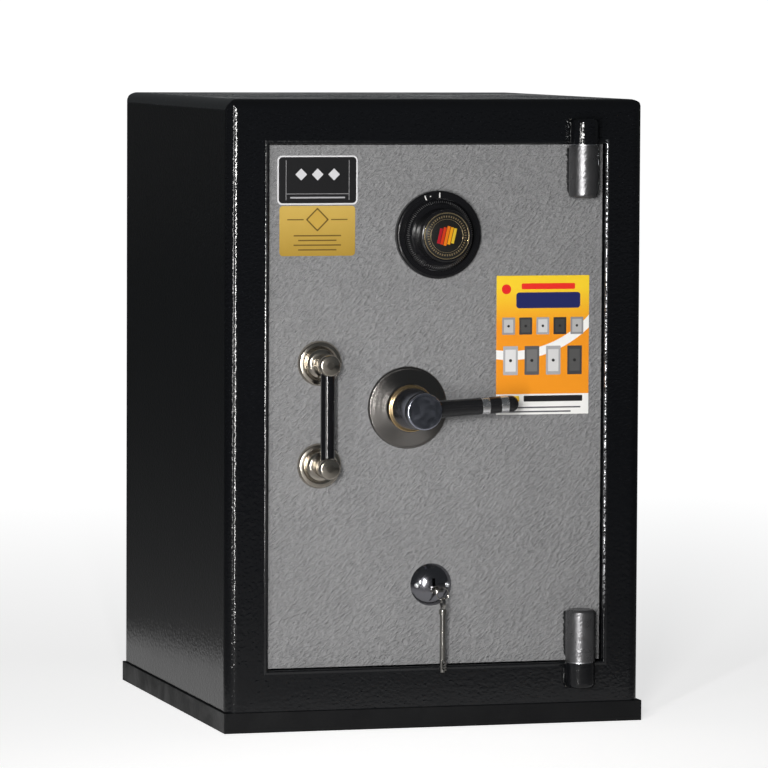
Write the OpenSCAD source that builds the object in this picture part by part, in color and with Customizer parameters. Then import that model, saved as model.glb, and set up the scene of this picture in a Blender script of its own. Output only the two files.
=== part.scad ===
// Combination safe: a filled steel cabinet with one hinged door, a dial, a lever, a pull and a key lock.
// X runs to the right, Y into the depth and Z up; the origin is the centre of the base on the floor.

/* [Cabinet] */
// Width of the cabinet
body_w = 460; // [440:5:500]
// Depth of the cabinet
body_d = 465; // [440:5:490]
// Height of the cabinet
body_h = 670; // [640:5:700]
// Thickness of the shell's sheet
shell_t = 4; // [3:0.5:5]
// Radius of the front and top edges
front_r = 12; // [8:1:14]
// Radius of the back edges
back_r = 6; // [5.5:0.5:8]
// Height of the band round the foot
plinth_h = 22; // [16:1:30]
// How far the band stands proud
plinth_lip = 2.5; // [2:0.5:4]
// Width of the folded edge round the back plate
back_flange = 14; // [10:1:20]
// Thickness of the back plate
back_t = 4; // [3:0.5:6]

/* [Door opening] */
// Width of the frame left of the opening
frame_l = 45; // [42:1:50]
// Width of the frame right of the opening
frame_r = 41; // [40:1:50]
// Height of the frame above the opening
frame_up = 47; // [44:1:56]
// Height of the sill above the floor
open_z = 65; // [62:1:70]
// How deep the frame reaches behind the face
jamb_depth = 32; // [30:1:36]
// Thickness of the frame's angle
jamb_t = 5; // [4:0.5:7]
// Width of the lip that the bolts lock behind
lip = 12; // [12:0.5:14]

/* [Interior] */
// Thickness of the liner's sheet
liner_t = 2; // [1.5:0.5:3]
// Thickness of the wall at the back, shell and liner included
back_wall = 32; // [28:1:40]
// Thickness of the shelf's sheet
shelf_t = 2; // [1.5:0.5:3]
// Height of the shelf above the liner's floor
shelf_z = 285; // [200:5:360]
// Depth of the shelf
shelf_d = 300; // [240:5:310]
// Depth of the lip folded down round the shelf
shelf_lip = 16; // [12:1:24]
// Width of each shelf rail
rail_w = 18; // [14:1:24]
// Thickness of the shelf rails
rail_t = 2.5; // [2:0.5:3]
// Spacing of the floor anchors from left to right
anchor_dx = 240; // [200:10:280]
// Spacing of the floor anchors from front to back
anchor_dy = 200; // [160:10:240]
// Bore of the anchor sleeves
anchor_bore = 14; // [12:1:16]
// Wall of the anchor sleeves
sleeve_t = 2; // [1.5:0.5:3]

/* [Hinges] */
// Diameter of the hinge barrels
barrel_d = 32; // [30:1:34]
// Hinge axis, inboard of the door's hinge edge
hinge_inset = 26; // [24:0.5:28]
// Hinge axis, in front of the door's face
hinge_proud = 15; // [14:0.5:15.5]
// Diameter of the hinge pins
pin_d = 14; // [12:1:16]
// Running clearance round the hinge pins
pin_fit = 0.05; // [0.03:0.01:0.08]
// Length of each knuckle on the door
door_knuckle = 56; // [50:1:60]
// Length of each knuckle on the frame
frame_knuckle = 27; // [25:1:30]
// Rounding of the barrels' ends
barrel_r = 4; // [2:0.5:5]
// Thickness of the thrust washers
washer_t = 1; // [0.8:0.1:1.2]
// How far each pin reaches into the door's knuckle
pin_reach = 38; // [30:1:44]

/* [Door] */
// Gap between the door's edge and the opening
door_gap = 1.6; // [1.4:0.1:2]
// How far the door's face lies behind the cabinet's face
door_recess = 10; // [9:0.5:12]
// Thickness of the door's plate
plate_t = 10; // [9:0.5:11]
// Depth of the pan behind the plate
pan_d = 62; // [60:1:64]
// How far the pan's edge lies inside the plate's edge
pan_inset = 12; // [12:0.5:14]
// Thickness of the pan's edge
pan_t = 3; // [2.5:0.5:4]
// Thickness of the fire board in the pan
board_t = 14; // [12:1:18]
// Thickness of the back cover
cover_t = 2; // [1.5:0.5:3]
// Diameter of the cover screws' heads
cover_screw_d = 8; // [7:0.5:10]
// Inset of the cover screws from the cover's edge
cover_screw_inset = 10; // [8:1:14]

/* [Plates on the door] */
// Width of the nameplate
badge_w = 88; // [80:1:94]
// Height of the nameplate
badge_h = 52; // [46:1:56]
// Left edge of the nameplate, from the door's left edge
badge_x = 10; // [8:0.5:14]
// Top edge of the nameplate, below the door's top edge
badge_top = 11; // [8:0.5:14]
// Thickness of the nameplate
badge_t = 0.8; // [0.6:0.1:1.2]
// Width of the nameplate's raised rim
badge_rim = 1.6; // [1.2:0.1:2.4]
// Width of the foil label
label_w = 83; // [76:1:88]
// Height of the foil label
label_h = 53; // [48:1:58]
// Gap between the nameplate and the foil label
label_gap = 1.2; // [0.5:0.1:3]
// Thickness of the labels
label_t = 0.3; // [0.2:0.1:0.5]
// Width of the leaflet sticker
leaflet_w = 104; // [96:1:108]
// Height of the leaflet sticker
leaflet_h = 149; // [140:1:154]
// Right edge of the leaflet, from the door's right edge
leaflet_x = 14; // [12:0.5:20]
// Top edge of the leaflet, below the door's top edge
leaflet_top = 140; // [136:1:150]

/* [Dial] */
// Dial axis, right of the cabinet's middle
dial_x = 3; // [-4:1:10]
// Dial axis, below the top of the opening
dial_drop = 97; // [92:1:103]
// Diameter of the dial ring
ring_d = 94; // [90:1:98]
// Height of the dial ring
ring_t = 8; // [6:0.5:10]
// Diameter of the dial's graduated flange
dial_d = 76; // [74:1:78]
// Gap between the dial and its ring
dial_fit = 0.5; // [0.4:0.1:1]
// Diameter of the dial's knob
knob_d = 56; // [54:1:60]
// How far the knob stands proud of the door
knob_proud = 36; // [32:1:40]
// Diameter of the badge in the knob
dial_badge_d = 50; // [46:1:51]
// Thickness of the badge
dial_badge_t = 1; // [0.6:0.1:1.5]
// Diameter of the spindle
spindle_d = 8; // [7:0.5:9]
// Clearance round the spindle
spindle_fit = 0.5; // [0.3:0.1:0.8]

/* [Combination lock] */
// Width of the lock's case
case_w = 62; // [60:1:66]
// Height of the case above the spindle
case_up = 31; // [30:1:34]
// Height of the case below the spindle
case_down = 52; // [50:1:54]
// Depth of the case
case_d = 30; // [29:0.5:32]
// Wall of the case
case_t = 2.5; // [2:0.5:3]
// Diameter of the wheels
wheel_d = 42; // [40:1:44]
// Thickness of each wheel
wheel_t = 2.2; // [2:0.1:2.4]
// Spacing of the wheels along the spindle
wheel_pitch = 3.6; // [3.5:0.1:3.8]
// Depth of the gate cut in each wheel
gate_d = 5; // [4:0.5:6]
// Width of the gate cut in each wheel
gate_w = 5; // [4:0.5:6]
// Diameter of the post that the wheels turn on
post_d = 14; // [13:0.5:15]
// Running clearance between wheel and post
wheel_fit = 0.05; // [0.03:0.01:0.08]
// Thickness of the drive cam
cam_t = 4.5; // [4:0.5:5]
// Width of the lock's bolt
lock_bolt_w = 12; // [10:1:13]
// Thickness of the lock's bolt
lock_bolt_t = 8; // [7:0.5:9]
// Travel of the lock's bolt
lock_throw = 9.5; // [8:0.5:10]
// Clearance round the lock's bolt
lock_fit = 0.5; // [0.4:0.1:0.8]

/* [Lever handle] */
// Lever axis, left of the cabinet's middle
lever_left = 29; // [20:1:34]
// Lever axis, below the middle of the opening
lever_drop = 2; // [-3:1:7]
// Diameter of the flange
flange_d = 88; // [84:1:92]
// Height of the flange's cone
flange_t = 11; // [9:1:14]
// Diameter of the collar
collar_d = 50; // [48:1:52]
// Height of the collar above the flange
collar_t = 4; // [3:0.5:6]
// Diameter of the hub's head
hub_d = 39; // [37:0.5:41]
// Diameter of the hub at its foot
hub_foot_d = 45; // [41:1:47]
// How far the hub stands proud of the door
hub_proud = 66; // [62:1:70]
// Diameter of the hub's shaft
shaft_d = 16; // [14:1:18]
// Clearance round the shaft
shaft_fit = 0.05; // [0.03:0.01:0.1]
// How far the grip's axis lies in front of the door
grip_proud = 50; // [48:1:52]
// Length from the hub's axis to the grip's tip
grip_l = 108; // [100:1:114]
// Diameter of the grip at the hub
grip_d = 19; // [18:0.5:20]
// Diameter of the grip at its tip
grip_tip_d = 17.5; // [16:0.5:18]
// Tilt of the grip at rest
grip_tilt = 3.5; // [0:0.5:6]
// Width of each knurled band
band_w = 8.5; // [7:0.5:10]
// Distance of the inner band from the hub's axis
band_1 = 66.5; // [60:0.5:68]
// Distance of the outer band from the hub's axis
band_2 = 87.5; // [80:0.5:90]
// How far the bands stand proud of the grip
band_lip = 0.3; // [0.2:0.1:0.8]

/* [Bolt work] */
// Diameter of the locking bolts
bolt_d = 20; // [18:1:21]
// Radial clearance of the locking bolts in the pan's edge
bolt_fit = 0.3; // [0.3:0.1:0.5]
// Distance of the outer bolts from the ends of the opening
bolt_inset = 85; // [80:1:92]
// Gap between the bolts and the back of the frame
bolt_gap = 1.5; // [1:0.1:2]
// Travel of the locking bolts
throw = 22; // [20:0.5:22]
// Thickness of the carriage's web
web_t = 6; // [5:0.5:7]
// Thickness of the carriage's flange that the bolts are screwed to
tail_t = 8; // [6:0.5:9]
// Distance of the carriage's flange from the pan's edge
tail_back = 28; // [26:1:32]
// Width of the carriage's upright
upright_w = 30; // [26:1:34]
// Height of each arm on the carriage
arm_h = 26; // [24:1:28]
// Diameter of the crank
crank_d = 64; // [60:1:66]
// Thickness of the crank
crank_t = 6; // [5:0.5:7]
// Diameter of the crank's pin
crank_pin_d = 8; // [7:0.5:9]
// Clearance on each side of the crank's pin
crank_fit = 0.6; // [0.5:0.1:0.8]
// Diameter of the guide studs
stud_d = 10; // [8:1:11]
// Diameter of the guide studs' heads
stud_head_d = 18; // [16:1:20]
// Distance of the guide studs from the carriage's upright
stud_x = 22; // [18:1:30]
// Diameter of the fixed bolts on the hinge side
dog_d = 16; // [14:1:18]
// How far the fixed bolts reach past the pan's edge
dog_reach = 20; // [18:0.5:20.5]
// How far the fixed bolts reach into the pan
dog_root = 16; // [12:1:20]

/* [Key lock] */
// Key axis, left of the cabinet's middle
key_left = 2; // [-4:1:6]
// Middle of the dome, above the sill
key_up = 87; // [84:1:92]
// Key axis, below the middle of the dome
key_drop = 4; // [2:0.5:5]
// Diameter of the dome escutcheon
dome_d = 45.5; // [42:0.5:48]
// Height of the dome
dome_h = 11; // [9:0.5:13]
// Spacing of the escutcheon's screws
dome_screw_dx = 33; // [31:0.5:34]
// Diameter of the escutcheon's screws
dome_screw_d = 6; // [5:0.5:7]
// Width of the key lock's case
key_case_w = 60; // [56:1:64]
// Height of the key lock's case above the key
key_case_up = 52; // [50:1:54]
// Height of the key lock's case below the key
key_case_down = 30; // [28:1:34]
// Depth of the key lock's case
key_case_d = 44; // [42:0.5:46]
// Diameter of the key's shaft
key_d = 6; // [5.5:0.5:7]
// Clearance round the key
key_fit = 0.5; // [0.4:0.1:0.8]
// Height of the key's bit
bit_h = 8; // [7:0.5:9]
// Thickness of the key's bit
bit_t = 2.4; // [2:0.2:3]
// Length of the key's bit
bit_l = 10; // [9:0.5:11]
// Number of cuts in the key's bit
cuts = 3; // [2:1:4]
// Length of the key's shaft from the bow to the tip
key_l = 66; // [64:1:68]
// Diameter of the key's bow
bow_d = 15; // [14:0.5:16]
// Thickness of the key's bow
bow_t = 2.2; // [1.8:0.1:2.3]
// Width of the metal round the bow's hole
bow_rim = 2.4; // [2:0.1:2.5]
// How far the bow starts in front of the door
bow_proud = 16; // [15:0.5:18]
// Diameter of the ring, from wire to wire
key_ring_d = 13; // [12.5:0.5:15]
// Diameter of the ring's wire
key_wire_d = 1.5; // [1.2:0.1:1.7]
// Number of levers in the lock
levers = 4; // [3:1:4]
// Thickness of each lever
lever_t = 1.4; // [1.2:0.1:1.5]

/* [Pull handle] */
// Handle axis, from the left edge of the opening
pull_inset = 58.5; // [55:0.5:62]
// Middle of the handle, below the middle of the opening
pull_drop = 8; // [3:1:14]
// Spacing of the two posts
pull_pitch = 109; // [100:1:116]
// Diameter of the rosettes
rosette_d = 48; // [44:1:50]
// Height of the rosettes
rosette_t = 11; // [9:0.5:13]
// Diameter of the posts' heads
head_d = 23; // [21:0.5:25]
// How far the posts' heads stand proud of the door
head_proud = 43; // [40:1:46]
// Diameter of the posts' necks
neck_d = 17; // [15:0.5:18]
// How far the bar's axis lies in front of the door
bar_proud = 34; // [33:0.5:34.5]
// Diameter of the bar
bar_d = 15; // [13:0.5:16]
// Height of the domed caps on the posts
cap_h = 3; // [2:0.5:4]
// Diameter of the screws that hold the handle
pull_screw_d = 8; // [6:1:10]

/* [Hidden] */
$fn = 64;

// Number of locking bolts, and the turn of the lever that throws them
bolt_n = 3;
lever_turn = 60;

// Planes of the cabinet, from front to back
face_y = -body_d / 2;
back_y = body_d / 2;
jamb_y = face_y + shell_t;
bolt_room_y = jamb_y + jamb_depth;
liner_back_y = back_y - back_wall + liner_t;
// Edges of the opening and of the liner behind it
open_l = frame_l - body_w / 2;
open_r = body_w / 2 - frame_r;
open_top = body_h - frame_up;
open_mid = (open_z + open_top) / 2;
liner_l = open_l - lip;
liner_r = open_r + lip;
liner_floor = open_z - lip;
liner_top = open_top + lip;
// The door's plate and pan
door_y = face_y + door_recess;
plate_y = door_y + plate_t;
pan_y = plate_y + pan_d;
door_l = open_l + door_gap;
door_r = open_r - door_gap;
door_z = open_z + door_gap;
door_top = open_top - door_gap;
pan_l = door_l + pan_inset;
pan_r = door_r - pan_inset;
pan_z = door_z + pan_inset;
pan_top = door_top - pan_inset;
board_y = pan_y - board_t;
// The hinge axis and its knuckles
hinge_x = door_r - hinge_inset;
hinge_y = door_y - hinge_proud;
washer_gap = 0.3;
upper_seam = open_top - 1;
lower_seam = open_z + 0.5;
upper_knuckle_top = upper_seam - washer_t - washer_gap;
lower_knuckle_z = lower_seam + washer_t + washer_gap;
// Bolt work: the crank, the carriage's web and the bolts, one behind the other
crank_y = plate_y + 2;
web_y = crank_y + crank_t + 2;
web_back = web_y + web_t;
bolt_y = bolt_room_y + bolt_gap + bolt_d / 2;
dog_y = bolt_room_y + bolt_gap + dog_d / 2;
bolt_pitch = (open_top - open_z - 2 * bolt_inset) / (bolt_n - 1);
bolt_zs = [for (i = [0 : bolt_n - 1]) open_z + bolt_inset + i * bolt_pitch];
upright_l = pan_l + tail_back;
upright_r = upright_l + upright_w;
stud_axis_x = upright_r + stud_x;
// Axes of the dial, the lever, the key and the pull handle
dial_z = open_top - dial_drop;
lever_x = -lever_left;
lever_z = open_mid - lever_drop;
key_x = -key_left;
dome_z = open_z + key_up;
key_z = dome_z - key_drop;
pull_x = open_l + pull_inset;
pull_z = open_mid - pull_drop;
pull_zs = [pull_z - pull_pitch / 2, pull_z + pull_pitch / 2];
// The combination lock behind the plate
case_z = dial_z - case_down;
case_floor = plate_y + case_t;
case_back = plate_y + case_d;
wheel_y = case_floor + 1.5;
cam_y = wheel_y + 3 * wheel_pitch;
lock_bolt_y = web_y + web_t / 2;
lock_bolt_l = 26;
lock_arm_top = case_z - 1;
// The crank moves its pin from one side of the lever's axis to the other
half_turn = lever_turn / 2;
crank_r = throw / (2 * sin(half_turn));
slot_z0 = lever_z + crank_r * cos(half_turn) - crank_pin_d / 2 - crank_fit;
slot_z1 = lever_z + crank_r + crank_pin_d / 2 + crank_fit;
// The key lock behind the plate
key_case_z = key_z - key_case_down;
key_case_top = key_z + key_case_up;
key_case_back = plate_y + key_case_d;
key_arm_z = key_case_top + 1;
key_lock_throw = lock_throw;
bow_y = door_y - bow_proud;
bow_r = (bow_d - bow_rim) / 2;
key_tip = bow_y + key_l;
ring_r = key_ring_d / 2;
ring_hang = ring_r - key_wire_d / 2 - 2;
ring_x = key_x + bow_r;
ring_z = key_z - ring_hang;
ring_y = bow_y - bow_d / 2;
spare_hang = bow_d / 2 - bow_rim - key_wire_d / 2 - 0.4;
spare_z = ring_z - ring_r - spare_hang;

// A straight-sided block between two corners
module slab(x0, x1, y0, y1, z0, z1) {
    translate([x0, y0, z0]) cube([x1 - x0, y1 - y0, z1 - z0]);
}

// A round bar along Y, from y0 in front to y1 behind
module rod(d, y0, y1) {
    translate([0, y1, 0]) rotate([90, 0, 0]) cylinder(d = d, h = y1 - y0);
}

// What is turned on a lathe: radius across, height towards the front of the door
module turned() {
    rotate([90, 0, 0]) rotate_extrude() children();
}

// A turned profile from r0 to r1 with its outer front edge rounded
module rim_profile(r0, r1, h, edge) {
    translate([r0, 0]) square([r1 - edge - r0, h]);
    translate([r0, 0]) square([r1 - r0, h - edge]);
    translate([r1 - edge, h - edge]) circle(edge);
}

// What a rounded corner takes off at [x, y]; sx and sy point into the shape
module corner_cut(x, y, sx, sy, r) {
    translate([x, y]) difference() {
        translate([sx > 0 ? -1 : -r, sy > 0 ? -1 : -r]) square(r + 1);
        translate([sx * r, sy * r]) circle(r);
    }
}

// A rectangle whose corners are rounded by r0 at y0 and by r1 at y1
module rounded_outline(x0, x1, y0, y1, r0, r1) {
    difference() {
        translate([x0, y0]) square([x1 - x0, y1 - y0]);
        for (x = [x0, x1]) {
            side = x == x0 ? 1 : -1;
            if (r0 > 0) corner_cut(x, y0, side, 1, r0);
            if (r1 > 0) corner_cut(x, y1, side, -1, r1);
        }
    }
}

// The cabinet from the side: its two top corners are rounded, the front one more
module side_outline(y0, y1, z0, z1, r_front, r_back) {
    difference() {
        translate([y0, z0]) square([y1 - y0, z1 - z0]);
        corner_cut(y0, z1, 1, -1, r_front);
        corner_cut(y1, z1, -1, -1, r_back);
    }
}

// The cabinet's outside, taken in by t all over
module cabinet_block(t) {
    l = t - body_w / 2;
    r = body_w / 2 - t;
    front = face_y + t;
    back = back_y - t;
    top = body_h - t;
    rf = front_r - t;
    rb = back_r - t;
    intersection() {
        translate([0, 0, t]) linear_extrude(top - t) rounded_outline(l, r, front, back, rf, rb);
        translate([0, back, 0]) rotate([90, 0, 0]) linear_extrude(back - front)
            rounded_outline(l, r, t, top, 0, rf);
        translate([l, 0, 0]) rotate([90, 0, 90]) linear_extrude(r - l)
            side_outline(front, back, t, top, rf, rb);
    }
}

// Cabinet

// The room that the frame's knuckles take out of the face
module knuckle_room() {
    translate([hinge_x, hinge_y, upper_seam]) cylinder(d = barrel_d, h = frame_knuckle);
    translate([hinge_x, hinge_y, lower_seam - frame_knuckle]) cylinder(d = barrel_d, h = frame_knuckle);
}

// The four places where the cabinet is bolted to a floor
module at_anchors() {
    for (x = [-1, 1], y = [-1, 1]) translate([x * anchor_dx / 2, y * anchor_dy / 2, 0]) children();
}

module outer_shell() {
    color([0.05, 0.05, 0.06]) difference() {
        cabinet_block(0);
        cabinet_block(shell_t);
        slab(open_l, open_r, face_y - 1, jamb_y + 1, open_z, open_top);
        slab(back_flange - body_w / 2, body_w / 2 - back_flange, back_y - shell_t - 1, back_y + 1,
            back_flange, body_h - back_flange);
        knuckle_room();
        at_anchors() translate([0, 0, -1]) cylinder(d = anchor_bore, h = shell_t + 2);
    }
}

module plinth_band() {
    half_w = body_w / 2 + plinth_lip;
    color([0.05, 0.05, 0.06]) linear_extrude(plinth_h) difference() {
        translate([-half_w, face_y - plinth_lip]) square([2 * half_w, body_d + 2 * plinth_lip]);
        rounded_outline(-body_w / 2, body_w / 2, face_y, back_y, front_r, back_r);
    }
}

module back_plate() {
    color([0.06, 0.06, 0.07])
        slab(back_flange - body_w / 2, body_w / 2 - back_flange, back_y - back_t, back_y,
            back_flange, body_h - back_flange);
}

// The angle-section jamb: one leg lines the opening, the other stands behind the face
module door_frame() {
    color([0.07, 0.07, 0.08]) difference() {
        slab(liner_l - liner_t, liner_r + liner_t, jamb_y, bolt_room_y, liner_floor - liner_t, liner_top + liner_t);
        slab(open_l, open_r, jamb_y - 1, bolt_room_y + 1, open_z, open_top);
        difference() {
            slab(liner_l - liner_t - 1, liner_r + liner_t + 1, jamb_y - 1, bolt_room_y - jamb_t,
                liner_floor - liner_t - 1, liner_top + liner_t + 1);
            slab(open_l - jamb_t, open_r + jamb_t, jamb_y - 2, bolt_room_y, open_z - jamb_t, open_top + jamb_t);
        }
        knuckle_room();
    }
}

module inner_liner() {
    color([0.75, 0.75, 0.73]) difference() {
        slab(liner_l - liner_t, liner_r + liner_t, bolt_room_y, liner_back_y,
            liner_floor - liner_t, liner_top + liner_t);
        slab(liner_l, liner_r, bolt_room_y - 1, liner_back_y - liner_t, liner_floor, liner_top);
        at_anchors() cylinder(d = anchor_bore, h = open_z);
    }
}

module fire_fill() {
    color([0.7, 0.68, 0.63]) difference() {
        cabinet_block(shell_t);
        slab(back_flange - body_w / 2, body_w / 2 - back_flange, back_y - back_t, back_y,
            back_flange, body_h - back_flange);
        slab(liner_l - liner_t, liner_r + liner_t, bolt_room_y, liner_back_y,
            liner_floor - liner_t, liner_top + liner_t);
        slab(liner_l - liner_t, liner_r + liner_t, bolt_room_y - jamb_t, bolt_room_y,
            liner_floor - liner_t, liner_top + liner_t);
        slab(open_l - jamb_t, open_r + jamb_t, jamb_y - 1, bolt_room_y, open_z - jamb_t, open_top + jamb_t);
        knuckle_room();
        at_anchors() cylinder(d = anchor_bore + 2 * sleeve_t, h = open_z);
    }
}

module anchor_sleeves() {
    color([0.6, 0.6, 0.62]) at_anchors() difference() {
        translate([0, 0, shell_t]) cylinder(d = anchor_bore + 2 * sleeve_t, h = liner_floor - liner_t - shell_t);
        cylinder(d = anchor_bore, h = liner_floor);
    }
}

module shelf() {
    z = liner_floor + shelf_z;
    l = liner_l + 1;
    r = liner_r - 1;
    y1 = liner_back_y - liner_t - 1;
    y0 = y1 - shelf_d;
    color([0.75, 0.75, 0.73]) difference() {
        slab(l, r, y0, y1, z - shelf_lip, z);
        slab(l + shelf_t, r - shelf_t, y0 + shelf_t, y1 - shelf_t, z - shelf_lip - 1, z - shelf_t);
    }
}

// Angle-section rails on the liner's side walls, under the shelf
module shelf_rails() {
    z = liner_floor + shelf_z - shelf_lip;
    y1 = liner_back_y - liner_t - 1;
    y0 = y1 - shelf_d;
    color([0.6, 0.6, 0.62]) for (side = [0, 1]) translate([side ? liner_r : liner_l, 0, 0]) mirror([side, 0, 0]) {
        slab(0, rail_w, y0, y1, z - rail_t, z);
        slab(0, rail_t, y0, y1, z - rail_w, z - rail_t);
    }
}

// Hinges

// A barrel from z0 up to z1, with its free end rounded: the upper end, or the lower one
module barrel(z0, z1, round_top) {
    translate([hinge_x, hinge_y, round_top ? z0 : z1]) mirror([0, 0, round_top ? 0 : 1])
        rotate_extrude() rim_profile(0, barrel_d / 2, z1 - z0, barrel_r);
}

module pin(z0, z1) {
    translate([hinge_x, hinge_y, z0]) cylinder(d = pin_d, h = z1 - z0);
}

// How deep the pins sit in the frame's knuckles, and the bores past the pins' ends
pin_root = frame_knuckle - barrel_r;
pin_end_gap = 2;

module frame_hinge_upper() {
    color([0.05, 0.05, 0.06]) difference() {
        barrel(upper_seam, upper_seam + frame_knuckle, true);
        pin(upper_seam - 1, upper_seam + pin_root);
    }
}

module frame_hinge_lower() {
    color([0.05, 0.05, 0.06]) difference() {
        barrel(lower_seam - frame_knuckle, lower_seam, false);
        pin(lower_seam - pin_root, lower_seam + 1);
    }
}

module hinge_pin_upper() {
    color([0.7, 0.7, 0.72]) pin(upper_knuckle_top - pin_reach, upper_seam + pin_root);
}

module hinge_pin_lower() {
    color([0.7, 0.7, 0.72]) pin(lower_seam - pin_root, lower_knuckle_z + pin_reach);
}

module thrust_washers() {
    color([0.8, 0.65, 0.3]) for (z = [upper_seam - washer_t, lower_seam])
        translate([hinge_x, hinge_y, z]) difference() {
            cylinder(d = barrel_d - 4, h = washer_t);
            translate([0, 0, -1]) cylinder(d = pin_d, h = washer_t + 2);
        }
}

// A knuckle on the door: bored for its pin and cut flat where it is welded to the plate
module door_knuckle_body(z0, z1, round_top) {
    bore_z = round_top ? z0 - 1 : z1 - pin_reach - pin_end_gap;
    difference() {
        barrel(z0, z1, round_top);
        translate([hinge_x, hinge_y, bore_z]) cylinder(d = pin_d + 2 * pin_fit, h = pin_reach + pin_end_gap + 1);
        slab(hinge_x - barrel_d, hinge_x + barrel_d, door_y, door_y + barrel_d, z0 - 1, z1 + 1);
    }
}

module door_hinge_upper() {
    color([0.6, 0.6, 0.62]) door_knuckle_body(upper_knuckle_top - door_knuckle, upper_knuckle_top, false);
}

module door_hinge_lower() {
    color([0.6, 0.6, 0.62]) door_knuckle_body(lower_knuckle_z, lower_knuckle_z + door_knuckle, true);
}

// Door

// The round hole and the slot above it that the key's bit passes through
module keyhole(y0, y1) {
    translate([key_x, 0, key_z]) {
        rod(key_d + 2 * key_fit, y0, y1);
        slab(-bit_t / 2 - key_fit, bit_t / 2 + key_fit, y0, y1, 0, key_d / 2 + bit_h + key_fit);
    }
}

// Places of the screws that hold the pull handle, the fixed bolts and the guide studs
module at_pull_posts() {
    for (z = pull_zs) translate([pull_x, 0, z]) children();
}

module at_studs() {
    for (z = [lock_arm_top - arm_h / 2, key_arm_z + arm_h / 2]) translate([stud_axis_x, 0, z]) children();
}

module door_plate() {
    color([0.6, 0.6, 0.61]) difference() {
        slab(door_l, door_r, door_y, plate_y, door_z, door_top);
        translate([dial_x, 0, dial_z]) rod(spindle_d + 2 * spindle_fit, door_y - 1, plate_y + 1);
        translate([lever_x, 0, lever_z]) rod(shaft_d + 2 * shaft_fit, door_y - 1, plate_y + 1);
        at_pull_posts() rod(pull_screw_d, door_y - 1, plate_y + 1);
        keyhole(door_y - 1, plate_y + 1);
    }
}

// The pan's four walls, with a hole for each bolt
module door_rim() {
    color([0.07, 0.07, 0.08]) difference() {
        slab(pan_l, pan_r, plate_y, pan_y, pan_z, pan_top);
        slab(pan_l + pan_t, pan_r - pan_t, plate_y - 1, pan_y + 1, pan_z + pan_t, pan_top - pan_t);
        for (z = bolt_zs) {
            translate([pan_l - 1, bolt_y, z]) rotate([0, 90, 0])
                cylinder(d = bolt_d + 2 * bolt_fit, h = pan_t + 2);
            translate([pan_r - pan_t - 1, dog_y, z]) rotate([0, 90, 0]) cylinder(d = dog_d, h = pan_t + 2);
        }
    }
}

// The cover's screws: along each upright edge, and in the middle of the top and the bottom
module at_cover_screws() {
    x = [pan_l + cover_screw_inset, pan_r - cover_screw_inset];
    z = [pan_z + cover_screw_inset, pan_top - cover_screw_inset];
    for (i = [0 : 3]) for (xx = x) translate([xx, pan_y, z[0] + i * (z[1] - z[0]) / 3]) children();
    for (zz = z) translate([(x[0] + x[1]) / 2, pan_y, zz]) children();
}

cover_shank_d = cover_screw_d / 2;

module fire_board() {
    color([0.85, 0.83, 0.78]) difference() {
        slab(pan_l + pan_t, pan_r - pan_t, board_y, pan_y, pan_z + pan_t, pan_top - pan_t);
        at_cover_screws() rod(cover_shank_d, -board_t / 2, 1);
    }
}

module door_cover() {
    color([0.75, 0.75, 0.73]) difference() {
        slab(pan_l, pan_r, pan_y, pan_y + cover_t, pan_z, pan_top);
        at_cover_screws() rod(cover_shank_d, -1, cover_t + 1);
    }
}

module cover_screws() {
    color([0.7, 0.7, 0.72]) at_cover_screws() {
        rod(cover_shank_d, -board_t / 2, cover_t);
        translate([0, cover_t, 0]) mirror([0, 1, 0]) turned() rim_profile(0, cover_screw_d / 2, 2, 1);
    }
}

module hinge_side_bolts() {
    color([0.75, 0.75, 0.77]) for (z = bolt_zs) translate([pan_r + dog_reach, dog_y, z]) rotate([0, -90, 0])
        cylinder(d = dog_d, h = dog_reach + pan_t + dog_root);
}

// A shouldered stud: the carriage slides between its shoulder and its head
module guide_studs() {
    color([0.75, 0.75, 0.77]) at_studs() {
        rod(stud_head_d, plate_y, web_y - 0.4);
        rod(stud_d, web_y - 0.4, web_back + 0.4);
        rod(stud_head_d, web_back + 0.4, web_back + 4);
    }
}

// Plates on the door's face

module nameplate() {
    x = door_l + badge_x;
    z = door_top - badge_top;
    color([0.04, 0.04, 0.05]) difference() {
        slab(x, x + badge_w, door_y - badge_t, door_y, z - badge_h, z);
        slab(x + badge_rim, x + badge_w - badge_rim, door_y - badge_t - 1, door_y - badge_t * 0.6,
            z - badge_h + badge_rim, z - badge_rim);
    }
}

module foil_label() {
    x = door_l + badge_x + (badge_w - label_w) / 2;
    z = door_top - badge_top - badge_h - label_gap;
    color([0.8, 0.62, 0.15]) slab(x, x + label_w, door_y - label_t, door_y, z - label_h, z);
}

module leaflet() {
    x = door_r - leaflet_x;
    z = door_top - leaflet_top;
    color([0.95, 0.65, 0.1]) slab(x - leaflet_w, x, door_y - label_t, door_y, z - leaflet_h, z);
}

// Dial and combination lock

module dial_ring() {
    color([0.04, 0.04, 0.05]) translate([dial_x, door_y, dial_z])
        turned() rim_profile(dial_d / 2 + dial_fit, ring_d / 2, ring_t, 3);
}

// Flange with the graduations, then the stepped knob with a seat for its badge
module dial_knob() {
    flange_r = dial_d / 2;
    knob_r = knob_d / 2;
    seat = knob_proud - dial_badge_t;
    color([0.04, 0.04, 0.05]) translate([dial_x, door_y, dial_z]) difference() {
        turned() difference() {
            union() {
                polygon([[0, 1], [flange_r, 1], [flange_r, ring_t], [knob_r + 4.5, ring_t + 6],
                    [knob_r + 0.5, ring_t + 6], [knob_r, ring_t + 8], [knob_r, knob_proud - 2], [0, knob_proud - 2]]);
                rim_profile(0, knob_r, knob_proud, 2);
            }
            translate([-1, -1]) square([knob_d, 2]);
            translate([0, seat]) square([dial_badge_d / 2, 2 * dial_badge_t]);
        }
        rod(spindle_d, -seat + 6, 1);
    }
}

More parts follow.
